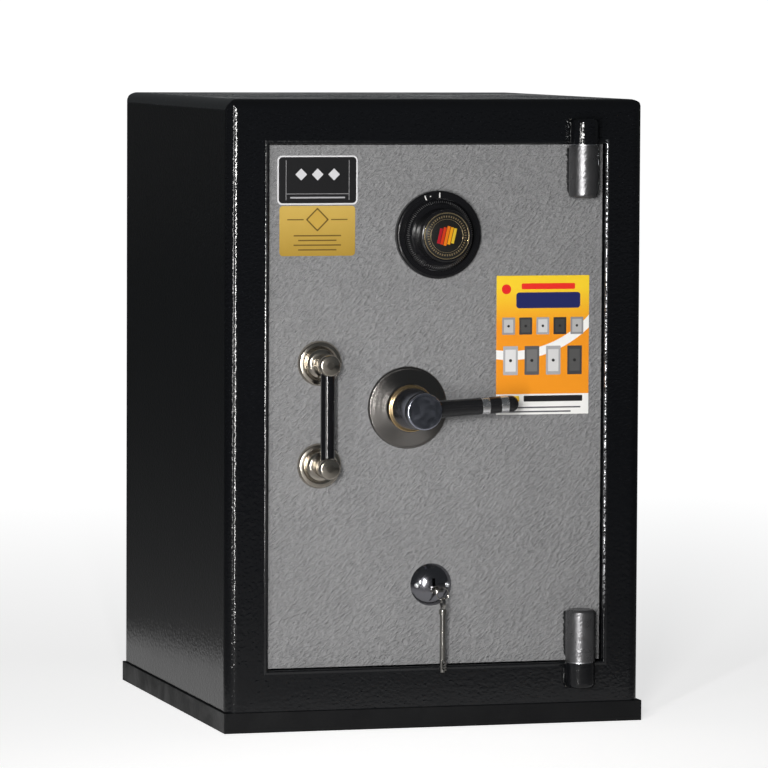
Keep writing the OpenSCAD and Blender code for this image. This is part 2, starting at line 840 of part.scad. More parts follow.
module dial_badge() {
    color([0.85, 0.25, 0.1]) translate([dial_x, door_y, dial_z])
        rod(dial_badge_d, -knob_proud, dial_badge_t - knob_proud);
}

module dial_spindle() {
    color([0.75, 0.75, 0.77]) translate([dial_x, 0, dial_z])
        rod(spindle_d, door_y - knob_proud + dial_badge_t + 6, cam_y + cam_t + 2);
}

// A wheel or cam on the spindle's axis, with a gate cut in its edge
module gated_disc(d, bore, y0, t, gate_angle) {
    translate([dial_x, 0, dial_z]) difference() {
        rod(d, y0, y0 + t);
        rod(bore, y0 - 1, y0 + t + 1);
        rotate([0, gate_angle, 0]) slab(-gate_w / 2, gate_w / 2, y0 - 1, y0 + t + 1, d / 2 - gate_d, d);
    }
}

module drive_cam() {
    color([0.8, 0.65, 0.3]) gated_disc(wheel_d - 4, spindle_d, cam_y, cam_t, 90);
}

module wheel(n) {
    color([0.8, 0.65, 0.3])
        gated_disc(wheel_d, post_d + 2 * wheel_fit, wheel_y + (n - 1) * wheel_pitch, wheel_t, 90 - 40 * n);
}

module wheel_1() { wheel(1); }
module wheel_2() { wheel(2); }
module wheel_3() { wheel(3); }

module lock_case() {
    l = dial_x - case_w / 2;
    r = dial_x + case_w / 2;
    color([0.6, 0.58, 0.55]) difference() {
        union() {
            difference() {
                slab(l, r, plate_y, case_back - case_t, case_z, dial_z + case_up);
                slab(l + case_t, r - case_t, case_floor, case_back, case_z + case_t, dial_z + case_up - case_t);
            }
            translate([dial_x, 0, dial_z]) rod(post_d, case_floor - 0.5, cam_y - 0.6);
        }
        translate([dial_x, 0, dial_z]) rod(spindle_d + 2 * spindle_fit, plate_y - 1, cam_y);
        slab(dial_x - lock_bolt_w / 2 - lock_fit, dial_x + lock_bolt_w / 2 + lock_fit,
            lock_bolt_y - lock_bolt_t / 2 - lock_fit, lock_bolt_y + lock_bolt_t / 2 + lock_fit,
            case_z - 1, case_z + case_t + 1);
    }
}

module lock_cover() {
    color([0.6, 0.58, 0.55]) slab(dial_x - case_w / 2, dial_x + case_w / 2, case_back - case_t, case_back,
        case_z, dial_z + case_up);
}

module lock_bolt() {
    color([0.8, 0.65, 0.3]) slab(dial_x - lock_bolt_w / 2, dial_x + lock_bolt_w / 2,
        lock_bolt_y - lock_bolt_t / 2, lock_bolt_y + lock_bolt_t / 2, case_z, case_z + lock_bolt_l);
}

// An arm behind the bolt, with the fence that lies along the wheels' edges
fence_gap = 0.8;
fence_t = 4;
fence_h = 8;
fence_arm_t = 3;
fence_arm_h = 10;
fence_arm_drop = 2;

module fence_lever() {
    arm_y = lock_bolt_y + lock_bolt_t / 2;
    fence_x = dial_x + wheel_d / 2 + fence_gap;
    arm_top = case_z + lock_bolt_l - fence_arm_drop;
    arm_z = arm_top - fence_arm_h;
    fence_z = dial_z - fence_h / 2;
    color([0.7, 0.7, 0.72]) {
        slab(dial_x - fence_t, fence_x + fence_t, arm_y, arm_y + fence_arm_t, arm_z, arm_top);
        slab(fence_x, fence_x + fence_t, arm_y, arm_y + fence_arm_t, arm_z, fence_z + fence_h);
        slab(fence_x, fence_x + fence_t, wheel_y, arm_y, fence_z, fence_z + fence_h);
    }
}

// Lever handle

module lever_flange() {
    edge = 3;
    bore_r = (shaft_d + 1) / 2;
    color([0.8, 0.8, 0.82]) translate([lever_x, door_y, lever_z]) turned() {
        polygon([[bore_r, 0], [flange_d / 2 - edge, 0], [flange_d / 2 - edge, edge], [collar_d / 2 + 1, flange_t - 1],
            [collar_d / 2, flange_t], [bore_r, flange_t]]);
        translate([bore_r, 0]) square([flange_d / 2 - bore_r, 0.4]);
        intersection() {
            translate([flange_d / 2 - edge, 0]) circle(edge);
            square([flange_d, edge]);
        }
    }
}

module lever_collar() {
    color([0.8, 0.65, 0.35]) translate([lever_x, door_y - flange_t, lever_z])
        turned() rim_profile((shaft_d + 1) / 2, collar_d / 2, collar_t, 1);
}

// The grip points away from the hub along X, tilted up a little at rest
module at_grip() {
    translate([lever_x, door_y - grip_proud, lever_z]) rotate([0, -grip_tilt, 0]) rotate([0, 90, 0]) children();
}

// The outside of the hub, from the collar to the rounded edge of its face
module hub_outside() {
    foot = flange_t + collar_t + 0.4;
    edge = 2;
    translate([lever_x, door_y, lever_z]) turned() {
        polygon([[0, foot], [hub_foot_d / 2, foot], [hub_foot_d / 2, foot + 4], [hub_d / 2, hub_proud - edge - 8],
            [hub_d / 2, hub_proud - edge], [hub_d / 2 - edge, hub_proud], [0, hub_proud]]);
        translate([hub_d / 2 - edge, hub_proud - edge]) circle(edge);
    }
}

// The grip's end is a round tenon in the hub
grip_tenon_d = 11;
grip_tenon_x = 6;

module grip_tenon() {
    at_grip() translate([0, 0, grip_tenon_x]) cylinder(d = grip_tenon_d, h = hub_foot_d);
}

module lever_hub() {
    color([0.8, 0.8, 0.82]) difference() {
        union() {
            hub_outside();
            translate([lever_x, 0, lever_z]) rod(shaft_d, door_y - flange_t - collar_t - 1, crank_y + crank_t);
        }
        grip_tenon();
    }
}

band_seat_d = grip_tip_d - 2;

module lever_grip() {
    end_r = grip_tip_d / 2;
    color([0.03, 0.03, 0.035]) {
        difference() {
            at_grip() {
                cylinder(d1 = grip_d, d2 = grip_tip_d, h = grip_l - end_r);
                translate([0, 0, grip_l - end_r]) sphere(end_r);
            }
            difference() {
                hub_outside();
                grip_tenon();
            }
            at_grip() for (x = [band_1, band_2]) translate([0, 0, x]) difference() {
                cylinder(d = grip_d + 2, h = band_w);
                translate([0, 0, -1]) cylinder(d = band_seat_d, h = band_w + 2);
            }
        }
    }
}

module grip_bands() {
    color([0.85, 0.85, 0.86]) at_grip() for (x = [band_1, band_2]) translate([0, 0, x]) difference() {
        local_d = grip_d + (grip_tip_d - grip_d) * x / grip_l;
        cylinder(d = local_d + 2 * band_lip, h = band_w);
        translate([0, 0, -1]) cylinder(d = band_seat_d, h = band_w + 2);
    }
}

// Bolt work behind the plate

module crank() {
    color([0.7, 0.7, 0.72]) translate([lever_x, 0, lever_z]) {
        difference() {
            rod(crank_d, crank_y, crank_y + crank_t);
            rod(shaft_d, crank_y - 1, crank_y + crank_t + 1);
        }
        rotate([0, half_turn, 0]) translate([0, 0, crank_r]) rod(crank_pin_d, crank_y + 1, web_back + 1);
    }
}

// The carriage: an upright flange that the bolts are screwed to, and three arms in one flat web
module bolt_carriage() {
    z0 = bolt_zs[0] - bolt_d / 2 - 4;
    z1 = bolt_zs[bolt_n - 1] + bolt_d / 2 + 4;
    pin_x = lever_x + crank_r * sin(half_turn);
    slot_x0 = pin_x - crank_pin_d / 2 - crank_fit;
    slot_x1 = pin_x + crank_pin_d / 2 + crank_fit;
    margin = 9;
    lock_arm_r = dial_x + throw + lock_bolt_w / 2 + 10;
    key_arm_r = key_x + throw + lock_bolt_w / 2 + 10;
    notch_w = lock_bolt_w / 2 + lock_fit;
    stud_slot = (stud_d + 1) / 2;
    color([0.65, 0.65, 0.67]) difference() {
        union() {
            slab(upright_l, upright_r, web_y, web_back, z0, z1);
            slab(upright_l, upright_l + tail_t, web_back, bolt_y + bolt_d / 2, z0, z1);
            slab(upright_r, lock_arm_r, web_y, web_back, lock_arm_top - arm_h, lock_arm_top);
            slab(upright_r, key_arm_r, web_y, web_back, key_arm_z, key_arm_z + arm_h);
            slab(upright_r, slot_x1 + margin, web_y, web_back, slot_z0 - margin, slot_z1 + margin);
        }
        slab(slot_x0, slot_x1, web_y - 1, web_back + 1, slot_z0, slot_z1);
        for (x = [0, throw]) {
            slab(dial_x + x - notch_w, dial_x + x + notch_w, web_y - 1, web_back + 1,
                case_z - lock_throw - lock_fit, case_z);
            slab(key_x + x - notch_w, key_x + x + notch_w, web_y - 1, web_back + 1,
                key_case_top, key_case_top + key_lock_throw + lock_fit);
        }
        at_studs() {
            rod(2 * stud_slot, web_y - 1, web_back + 1);
            translate([throw, 0, 0]) rod(2 * stud_slot, web_y - 1, web_back + 1);
            slab(0, throw, web_y - 1, web_back + 1, -stud_slot, stud_slot);
        }
    }
}

// A round bolt from the pan's edge to the carriage's flange, its end chamfered
module locking_bolt(n) {
    chamfer = 2;
    color([0.8, 0.8, 0.82]) translate([pan_l, bolt_y, bolt_zs[n - 1]]) rotate([0, 90, 0]) rotate_extrude()
        polygon([[0, 0], [bolt_d / 2 - chamfer, 0], [bolt_d / 2, chamfer], [bolt_d / 2, tail_back], [0, tail_back]]);
}

module locking_bolt_1() { locking_bolt(1); }
module locking_bolt_2() { locking_bolt(2); }
module locking_bolt_3() { locking_bolt(3); }

// Key lock

module dome_outside(lift) {
    sphere_r = (dome_h * dome_h + dome_d * dome_d / 4) / (2 * dome_h);
    translate([key_x, 0, dome_z]) intersection() {
        translate([0, door_y - dome_h + sphere_r - lift, 0]) rotate([90, 0, 0]) sphere(sphere_r);
        rod(dome_d, door_y - dome_h - lift - 1, door_y);
    }
}

module at_dome_screws() {
    for (side = [-1, 1]) translate([key_x + side * dome_screw_dx / 2, door_y, dome_z]) children();
}

module key_escutcheon() {
    color([0.8, 0.8, 0.82]) difference() {
        dome_outside(0);
        keyhole(door_y - dome_h - 1, door_y + 1);
        at_dome_screws() rod(dome_screw_d, -dome_h, 1);
    }
}

// Round-headed screws in the dome's two holes
module escutcheon_screws() {
    r = dome_screw_d / 2;
    color([0.7, 0.7, 0.72]) at_dome_screws() turned() rim_profile(0, r, dome_h * 0.55, 1);
}

module key_lock_case() {
    l = key_x - key_case_w / 2;
    r = key_x + key_case_w / 2;
    color([0.6, 0.58, 0.55]) difference() {
        union() {
            difference() {
                slab(l, r, plate_y, key_case_back - case_t, key_case_z, key_case_top);
                slab(l + case_t, r - case_t, case_floor, key_case_back, key_case_z + case_t, key_case_top - case_t);
            }
            at_lever_post() rod(lever_post_d, case_floor - 0.5, key_case_back - case_t);
        }
        keyhole(plate_y - 1, case_floor + 1);
        slab(key_x - lock_bolt_w / 2 - lock_fit, key_x + lock_bolt_w / 2 + lock_fit,
            lock_bolt_y - lock_bolt_t / 2 - lock_fit, lock_bolt_y + lock_bolt_t / 2 + lock_fit,
            key_case_top - case_t - 1, key_case_top + 1);
    }
}

module key_lock_cover() {
    color([0.6, 0.58, 0.55]) slab(key_x - key_case_w / 2, key_x + key_case_w / 2, key_case_back - case_t,
        key_case_back, key_case_z, key_case_top);
}

module key_lock_bolt() {
    color([0.8, 0.65, 0.3]) slab(key_x - lock_bolt_w / 2, key_x + lock_bolt_w / 2,
        lock_bolt_y - lock_bolt_t / 2, lock_bolt_y + lock_bolt_t / 2, key_case_top - lock_bolt_l, key_case_top);
}

// The levers turn on a post beside the key and lie just above its bit
lever_post_d = 6;
lever_post_x = 21;
bit_reach = key_d / 2 + bit_h;
lever_h = 9;
bit_y = key_tip - 3 - bit_l;

module at_lever_post() {
    translate([key_x - lever_post_x, 0, key_z + bit_reach + 0.6 + lever_h / 2]) children();
}

module lever_pack() {
    gap = 0.6;
    color([0.8, 0.65, 0.3]) at_lever_post() for (i = [0 : levers - 1]) {
        y0 = bit_y + i * (lever_t + gap);
        difference() {
            union() {
                rod(lever_h, y0, y0 + lever_t);
                slab(0, lever_post_x + bit_reach, y0, y0 + lever_t, -lever_h / 2, lever_h / 2);
            }
            rod(lever_post_d + 0.1, y0 - 1, y0 + lever_t + 1);
        }
    }
}

// A key lying along +Y with its bow in front of the origin; the bit points to -X
module key_shape() {
    pitch = bit_l / (2 * cuts + 1);
    rod(key_d, 0, key_l);
    difference() {
        rod(key_d + 2.5, -bow_rim / 2, 4);
        translate([0, -bow_d / 2, 0]) cylinder(r = bow_r, h = bow_d, center = true);
    }
    translate([0, -bow_d / 2, -bow_t / 2]) difference() {
        cylinder(d = bow_d, h = bow_t);
        translate([0, 0, -1]) cylinder(d = bow_d - 2 * bow_rim, h = bow_t + 2);
    }
    difference() {
        slab(-bit_reach, 0, key_l - 3 - bit_l, key_l - 3, -bit_t / 2, bit_t / 2);
        for (i = [1 : cuts]) translate([0, key_l - 3 - bit_l + (2 * i - 1) * pitch, 0])
            slab(-bit_reach - 1, -bit_reach + 3, 0, pitch, -bit_t, bit_t);
    }
}

module lock_key() {
    color([0.75, 0.75, 0.77]) translate([key_x, bow_y, key_z]) key_shape();
}

module key_ring() {
    color([0.85, 0.85, 0.86]) translate([ring_x, ring_y, ring_z]) rotate([90, 0, 0])
        rotate_extrude() translate([ring_r, 0]) circle(d = key_wire_d);
}

// The second key hangs from the ring with its bow edge-on to the front
module spare_key() {
    color([0.75, 0.75, 0.77]) translate([ring_x, ring_y, spare_z]) rotate([0, 0, 90]) rotate([-90, 0, 0])
        translate([0, bow_d / 2, 0]) key_shape();
}

// Pull handle

module pull_rosettes() {
    step_r = rosette_d / 2 - 8;
    color([0.8, 0.78, 0.75]) at_pull_posts() translate([0, door_y, 0]) turned() difference() {
        union() {
            rim_profile(0, rosette_d / 2, rosette_t * 0.5, 2.5);
            rim_profile(0, step_r, rosette_t, 3);
        }
        square([neck_d / 2, rosette_t + 1]);
    }
}

// Two necks with round heads, the bar between them and a domed cap on each head
module pull_handle() {
    color([0.8, 0.78, 0.75]) {
        difference() {
            union() {
                at_pull_posts() translate([0, door_y, 0]) {
                    rod(neck_d, -bar_proud, 0);
                    rod(head_d, -head_proud, -2 * bar_proud + head_proud);
                    pull_cap();
                }
                translate([pull_x, door_y - bar_proud, pull_zs[0]]) cylinder(d = bar_d, h = pull_pitch);
            }
            at_pull_posts() rod(pull_screw_d, door_y - bar_proud / 2, door_y + 1);
        }
    }
}

module pull_cap() {
    rim = head_d / 2 - 0.8;
    sphere_r = (cap_h * cap_h + rim * rim) / (2 * cap_h);
    intersection() {
        translate([0, sphere_r - head_proud - cap_h, 0]) rotate([90, 0, 0]) sphere(sphere_r);
        rod(2 * rim, -head_proud - cap_h - 1, -head_proud + 1);
    }
}

module pull_screws() {
    color([0.6, 0.6, 0.62]) at_pull_posts() {
        rod(pull_screw_d, door_y - bar_proud / 2, plate_y);
        rod(2 * pull_screw_d, plate_y, plate_y + pull_screw_d / 2);
    }
}

outer_shell();
plinth_band();
back_plate();
fire_fill();
inner_liner();
door_frame();
anchor_sleeves();
shelf();
shelf_rails();
frame_hinge_upper();
frame_hinge_lower();
hinge_pin_upper();
hinge_pin_lower();
thrust_washers();
door_plate();
door_rim();
fire_board();
door_cover();
cover_screws();
door_hinge_upper();
door_hinge_lower();
hinge_side_bolts();
guide_studs();
nameplate();
foil_label();
leaflet();
dial_ring();
dial_knob();
dial_badge();
dial_spindle();
drive_cam();
wheel_1();
wheel_2();
wheel_3();
lock_case();
lock_cover();
lock_bolt();
fence_lever();
lever_flange();
lever_collar();
lever_hub();
lever_grip();
grip_bands();
crank();
bolt_carriage();
locking_bolt_1();
locking_bolt_2();
locking_bolt_3();
key_escutcheon();
escutcheon_screws();
key_lock_case();
key_lock_cover();
key_lock_bolt();
lever_pack();
lock_key();
key_ring();
spare_key();
pull_rosettes();
pull_handle();
pull_screws();
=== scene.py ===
from math import atan2, cos, pi, radians, sin, sqrt, tan

import bmesh
import bpy
from mathutils import Matrix, Vector


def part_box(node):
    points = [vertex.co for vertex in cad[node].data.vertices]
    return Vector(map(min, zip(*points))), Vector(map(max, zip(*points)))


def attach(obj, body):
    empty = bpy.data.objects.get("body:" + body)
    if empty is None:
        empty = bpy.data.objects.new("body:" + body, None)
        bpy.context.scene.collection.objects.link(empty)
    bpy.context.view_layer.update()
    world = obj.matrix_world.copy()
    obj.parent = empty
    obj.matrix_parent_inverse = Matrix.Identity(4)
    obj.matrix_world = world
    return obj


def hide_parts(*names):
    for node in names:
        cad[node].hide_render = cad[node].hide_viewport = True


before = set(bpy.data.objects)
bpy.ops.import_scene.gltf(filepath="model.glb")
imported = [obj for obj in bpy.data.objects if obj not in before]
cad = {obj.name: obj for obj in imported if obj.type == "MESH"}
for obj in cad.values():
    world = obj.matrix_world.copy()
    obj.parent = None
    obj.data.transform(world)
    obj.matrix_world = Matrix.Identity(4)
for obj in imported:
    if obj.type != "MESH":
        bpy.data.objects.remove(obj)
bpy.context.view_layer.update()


# The cabinet: 4 mm steel sheet folded and welded round a cast fill, an angle frame round the door
# opening, and a band of flat bar round the foot. All of it is sprayed with gloss black enamel,
# which dries with an orange-peel ripple.
def wire(tree, kind, inputs=None, **settings):
    """Adds a node, sets its properties, then its inputs by name or index: a value or another node's output."""
    node = tree.nodes.new(kind)
    for name, value in settings.items():
        setattr(node, name, value)
    for name, value in (inputs or {}).items():
        socket = node.inputs[name]
        if isinstance(value, bpy.types.NodeSocket):
            tree.links.new(value, socket)
        else:
            socket.default_value = value
    return node


def maths(tree, operation, a, b=0.0, c=0.0):
    """One Math node's output."""
    return wire(tree, "ShaderNodeMath", {0: a, 1: b, 2: c}, operation=operation).outputs[0]


def vectors(tree, operation, a, b=(0.0, 0.0, 0.0)):
    """One Vector Math node's output."""
    return wire(tree, "ShaderNodeVectorMath", {0: a, 1: b}, operation=operation).outputs[0]


def here(tree):
    """The place of a point in its piece's own coordinates."""
    return wire(tree, "ShaderNodeTexCoord").outputs["Object"]


def noise(tree, where, scale, detail=2.0, roughness=0.5):
    """The value of a cloudy noise at a place."""
    return wire(tree, "ShaderNodeTexNoise", {
        "Vector": where, "Scale": scale, "Detail": detail, "Roughness": roughness}).outputs[0]


def spread(tree, value, low, high, to_low=0.0, to_high=1.0):
    """Stretches a value from one range to another, clamped."""
    return wire(tree, "ShaderNodeMapRange", {0: value, 1: low, 2: high, 3: to_low, 4: to_high}).outputs[0]


def tint(tree, share, first, second):
    """Mixes two colours, each a colour or an output, by share."""
    node = wire(tree, "ShaderNodeMix", {0: share}, data_type="RGBA")
    for socket, colour in ((node.inputs[6], first), (node.inputs[7], second)):
        if isinstance(colour, bpy.types.NodeSocket):
            tree.links.new(colour, socket)
        else:
            socket.default_value = (*colour, 1)
    return node.outputs[2]


def effect(name, inputs, outputs):
    """A shader node group with its named inputs, given as {name: default}, and its named outputs."""
    tree = bpy.data.node_groups.new(name, "ShaderNodeTree")
    for key, value in inputs.items():
        kind = "NodeSocketVector" if isinstance(value, tuple) else "NodeSocketFloat"
        tree.interface.new_socket(key, in_out="INPUT", socket_type=kind).default_value = value
    for key in outputs:
        tree.interface.new_socket(key, in_out="OUTPUT", socket_type="NodeSocketFloat")
    return tree, tree.nodes.new("NodeGroupInput").outputs, tree.nodes.new("NodeGroupOutput").inputs


def paint(name, colour, roughness, metallic=0.0, specular=0.5):
    """A material with its Principled shader."""
    made = bpy.data.materials.new(name)
    made.use_nodes = True
    shader = made.node_tree.nodes["Principled BSDF"]
    for key, value in {"Base Color": (*colour, 1), "Roughness": roughness, "Metallic": metallic,
                       "Specular IOR Level": specular}.items():
        shader.inputs[key].default_value = value
    return made, made.node_tree, shader


def place(tree, group, **inputs):
    """Puts an effect into a material with its own values."""
    node = tree.nodes.new("ShaderNodeGroup")
    node.node_tree = group
    for key, value in inputs.items():
        node.inputs[key].default_value = value
    return node.outputs


def raise_by(shader, height, distance, strength=1.0):
    """Feeds a height into the shader's normal."""
    tree = shader.id_data
    bump = wire(tree, "ShaderNodeBump", {"Height": height, "Distance": distance, "Strength": strength})
    tree.links.new(bump.outputs[0], shader.inputs["Normal"])


def coat(material, *names):
    """Gives CAD nodes one material."""
    for name in names:
        cad[name].data.materials.clear()
        cad[name].data.materials.append(material)


# Orange peel: a fine ripple in sprayed paint, over a slower waviness of the sheet below it, about
# 70 mm from crest to crest
orange_peel, peel_in, peel_out = effect("orange_peel", {"Size": 0.003, "Waviness": 0.35}, ["Height"])
where = here(orange_peel)
ripple = noise(orange_peel, where, maths(orange_peel, "DIVIDE", 1.0, peel_in["Size"]), 1.0, 0.4)
slow = noise(orange_peel, where, 14.0, 0.0)
orange_peel.links.new(maths(orange_peel, "MULTIPLY_ADD", slow, peel_in["Waviness"], ripple), peel_out["Height"])


def rippled(shader, size, distance, strength):
    """Gives a paint its orange peel."""
    raise_by(shader, place(shader.id_data, orange_peel, Size=size)["Height"], distance, strength)


# Handling: faint dust and wiping marks that make a gloss surface uneven
handling, handling_in, handling_out = effect("handling", {"Clean": 0.2, "Dusty": 0.4, "Scale": 9.0}, ["Roughness"])
cloud = wire(handling, "ShaderNodeTexNoise", {
    "Vector": here(handling), "Scale": handling_in["Scale"], "Detail": 5.0, "Roughness": 0.65, "Distortion": 0.6})
handling.links.new(
    spread(handling, cloud.outputs[0], 0.35, 0.7, handling_in["Clean"], handling_in["Dusty"]),
    handling_out["Roughness"])


def worn(shader, clean, dusty, scale=9.0):
    """Lets a surface's roughness vary between two values, in patches of 1 m / scale."""
    tree = shader.id_data
    marks = place(tree, handling, Clean=clean, Dusty=dusty, Scale=scale)
    tree.links.new(marks["Roughness"], shader.inputs["Roughness"])


enamel_black, enamel_peel = (0.0042, 0.0046, 0.0056), (0.003, 0.0006, 0.38)
enamel, tree, shader = paint("black_enamel", enamel_black, 0.2, specular=0.4)
worn(shader, 0.06, 0.15)
rippled(shader, *enamel_peel)
coat(enamel, "outer_shell", "back_plate", "door_frame", "frame_hinge_upper", "frame_hinge_lower")
plinth_enamel, tree, shader = paint("plinth_enamel", (0.0042, 0.0044, 0.005), 0.3, specular=0.18)
worn(shader, 0.34, 0.55, 16.0)
rippled(shader, 0.0032, 0.0006, 0.2)
coat(plinth_enamel, "plinth_band")


def ease(node, width):
    """Rounds a CAD node's sharp edges: its doubled vertices are joined first."""
    join = cad[node].modifiers.new("join", "WELD")
    join.merge_threshold = 0.00001
    round_off = cad[node].modifiers.new("round_off", "BEVEL")
    round_off.width = width
    round_off.segments = 3
    round_off.limit_method = "ANGLE"
    round_off.angle_limit = radians(40)
    round_off.harden_normals = True


ease("door_frame", 0.0012)
ease("plinth_band", 0.0008)

# The cast fill shows nowhere on a whole safe, but its material is that of light concrete
fill_mix, tree, shader = paint("mineral_fill", (0.5, 0.48, 0.43), 0.95)
grit = noise(tree, here(tree), 220.0, 6.0)
tree.links.new(tint(tree, grit, (0.4, 0.38, 0.34), (0.6, 0.58, 0.53)), shader.inputs["Base Color"])
raise_by(shader, grit, 0.0008)
coat(fill_mix, "fire_fill", "fire_board")


# Inside the cabinet: a liner of thin sheet with a folded shelf on two rails, sprayed pale grey,
# and plain zinc-plated tubes through the floor for the anchor bolts.
lining, tree, shader = paint("liner_paint", (0.47, 0.47, 0.45), 0.45)
worn(shader, 0.38, 0.6, 14.0)
rippled(shader, 0.0022, 0.0004, 0.25)
coat(lining, "inner_liner", "shelf", "shelf_rails", "door_cover")

# Brushing: fine lines left along one direction, longer than they are wide
brushing, brushing_in, brushing_out = effect(
    "brushing", {"Stretch": (900.0, 60.0, 60.0), "Clean": 0.25, "Dull": 0.45}, ["Height", "Roughness"])
lines = noise(brushing, vectors(brushing, "MULTIPLY", here(brushing), brushing_in["Stretch"]), 1.0, 3.0)
brushing.links.new(lines, brushing_out["Height"])
brushing.links.new(
    spread(brushing, lines, 0.3, 0.7, brushing_in["Clean"], brushing_in["Dull"]), brushing_out["Roughness"])


def brushed(shader, stretch, clean, dull, strength):
    """Gives a metal its brushed lines, by how often they change per metre along each axis."""
    tree = shader.id_data
    lines = place(tree, brushing, Stretch=stretch, Clean=clean, Dull=dull)
    tree.links.new(lines["Roughness"], shader.inputs["Roughness"])
    raise_by(shader, lines["Height"], 0.0002, strength)


zinc, tree, shader = paint("zinc_plate", (0.58, 0.59, 0.61), 0.35, metallic=1.0)
brushed(shader, (140.0, 140.0, 900.0), 0.24, 0.46, 0.3)
coat(zinc, "anchor_sleeves", "thrust_washers", "hinge_pin_upper", "hinge_pin_lower", "cover_screws",
     "hinge_side_bolts", "guide_studs", "dial_spindle", "lock_case", "lock_cover", "fence_lever", "crank",
     "bolt_carriage", "locking_bolt_1", "locking_bolt_2", "locking_bolt_3", "escutcheon_screws",
     "key_lock_case", "key_lock_cover", "pull_screws")

brass, tree, shader = paint("brass", (0.68, 0.46, 0.18), 0.3, metallic=1.0)
brushed(shader, (700.0, 90.0, 90.0), 0.2, 0.4, 0.25)
coat(brass, "drive_cam", "wheel_1", "wheel_2", "wheel_3", "lock_bolt", "key_lock_bolt", "lever_pack")


# The door: a 10 mm plate with a pan welded behind it, closed by a screwed cover. The plate's face
# is sprayed with a mid-grey hammered paint, which dries as a fine stipple of streaks and pits.
hammered, hammered_in, hammered_out = effect("hammered", {"Cell": 0.0034}, ["Height", "Tone_and_shade"])
where = here(hammered)
sway, streak_lean, streak_stretch = 0.0018, radians(-34), (2.3, 1.0, 0.85)
drift = wire(hammered, "ShaderNodeTexNoise", {"Vector": where, "Scale": 160.0, "Detail": 1.0}).outputs["Color"]
swayed = vectors(hammered, "MULTIPLY", vectors(hammered, "SUBTRACT", drift, (0.5,) * 3), (sway,) * 3)
turned_in = wire(hammered, "ShaderNodeMapping", {
    "Vector": vectors(hammered, "ADD", where, swayed), "Rotation": (0.0, streak_lean, 0.0),
    "Scale": streak_stretch}, vector_type="TEXTURE").outputs[0]
per_metre = maths(hammered, "DIVIDE", 1.0, hammered_in["Cell"])
pits = wire(hammered, "ShaderNodeTexVoronoi", {"Vector": turned_in, "Scale": per_metre, "Smoothness": 0.7},
            feature="SMOOTH_F1").outputs["Distance"]
streaks = noise(hammered, turned_in, maths(hammered, "MULTIPLY", per_metre, 1.6), 3.0, 0.6)
# mostly streaks, with shallower pits among them; the tone follows the relief, painted darker in its low parts as
# shade, and wide faint patches add a random tone
relief = maths(hammered, "MULTIPLY_ADD", streaks, 1.3, maths(hammered, "MULTIPLY", pits, 0.6))
patches = noise(hammered, where, 22.0, 3.0)
hammered.links.new(relief, hammered_out["Height"])
hammered.links.new(
    maths(hammered, "MULTIPLY_ADD", patches, 0.4, maths(hammered, "MULTIPLY", relief, 0.6)), hammered_out["Tone_and_shade"])

door_paint, tree, shader = paint("hammered_grey", (0.26, 0.26, 0.265), 0.5)
darker_grey, lighter_grey = (0.22, 0.222, 0.228), (0.278, 0.28, 0.286)
stipple = place(tree, hammered, Cell=0.003)
# the grey is painted darker where the stipple lies low, as shade, and varies in faint patches as its own tone
tree.links.new(
    tint(tree, spread(tree, stipple["Tone_and_shade"], 0.5, 0.85), darker_grey, lighter_grey), shader.inputs["Base Color"])
raise_by(shader, stipple["Height"], 0.0027)
coat(door_paint, "door_plate")

pan_paint, tree, shader = paint("pan_black", (0.012, 0.012, 0.014), 0.4)
worn(shader, 0.3, 0.55, 20.0)
rippled(shader, 0.0026, 0.0005, 0.3)
coat(pan_paint, "door_rim")


# The hinges: turned knuckles with rounded ends, one welded to the frame and one to the door at
# each end of a steel pin. The door's knuckles are sprayed silver grey.
silver, tree, shader = paint("silver_grey", (0.15, 0.15, 0.155), 0.34, metallic=0.85)
worn(shader, 0.24, 0.4, 40.0)
raise_by(shader, place(tree, hammered, Cell=0.004)["Height"], 0.0006, 0.4)
coat(silver, "door_hinge_upper", "door_hinge_lower")


# The weld beads that hold the knuckles: short runs of overlapping ripples, laid by hand down both sides of each
# knuckle, all in the black enamel, so the door's beads stand dark beside its silver knuckles.
def added(name, data):
    """A new object in the scene."""
    made = bpy.data.objects.new(name, data)
    bpy.context.scene.collection.objects.link(made)
    return made


def grown(name, tree, inputs, material, body, replaced=(), places=()):
    """Runs a geometry tree on a mesh of bare points, keeps the outcome as a plain mesh and lets it ride on a body."""
    points = bpy.data.meshes.new(name + "_seed")
    points.from_pydata(places, [], [])
    seed = added(name + "_seed", points)
    nodes = seed.modifiers.new("growth", "NODES")
    nodes.node_group = tree
    inputs["Material"] = material
    for item in tree.interface.items_tree:
        if item.in_out == "INPUT" and item.name in inputs:
            nodes[item.identifier] = inputs[item.name]
    evaluated = seed.evaluated_get(bpy.context.evaluated_depsgraph_get())
    mesh = bpy.data.meshes.new_from_object(evaluated)
    bpy.data.objects.remove(seed)
    return mounted(name, mesh, material, body, replaced)


def mounted(name, mesh, material, body, replaced=()):
    """A piece of a finished mesh: its material and slot, the body it moves with and the CAD nodes it stands for."""
    mesh.name = name
    mesh.materials.clear()
    mesh.materials.append(material)
    made = added(name, mesh)
    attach(made, body)
    if replaced:
        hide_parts(*replaced)
    return made


def growth(name, **inputs):
    """A geometry tree with its named inputs, an outgoing geometry socket and its first two nodes."""
    tree = bpy.data.node_groups.new(name, "GeometryNodeTree")
    tree.interface.new_socket("Places", in_out="INPUT", socket_type="NodeSocketGeometry")
    tree.interface.new_socket("Geometry", in_out="OUTPUT", socket_type="NodeSocketGeometry")
    for key, value in inputs.items():
        kind = {int: "NodeSocketInt", float: "NodeSocketFloat", tuple: "NodeSocketVector"}.get(
            type(value), "NodeSocketMaterial")
        socket = tree.interface.new_socket(key.replace("_", " "), in_out="INPUT", socket_type=kind)
        if value is not None:
            socket.default_value = value
    return tree, tree.nodes.new("NodeGroupInput").outputs, tree.nodes.new("NodeGroupOutput").inputs


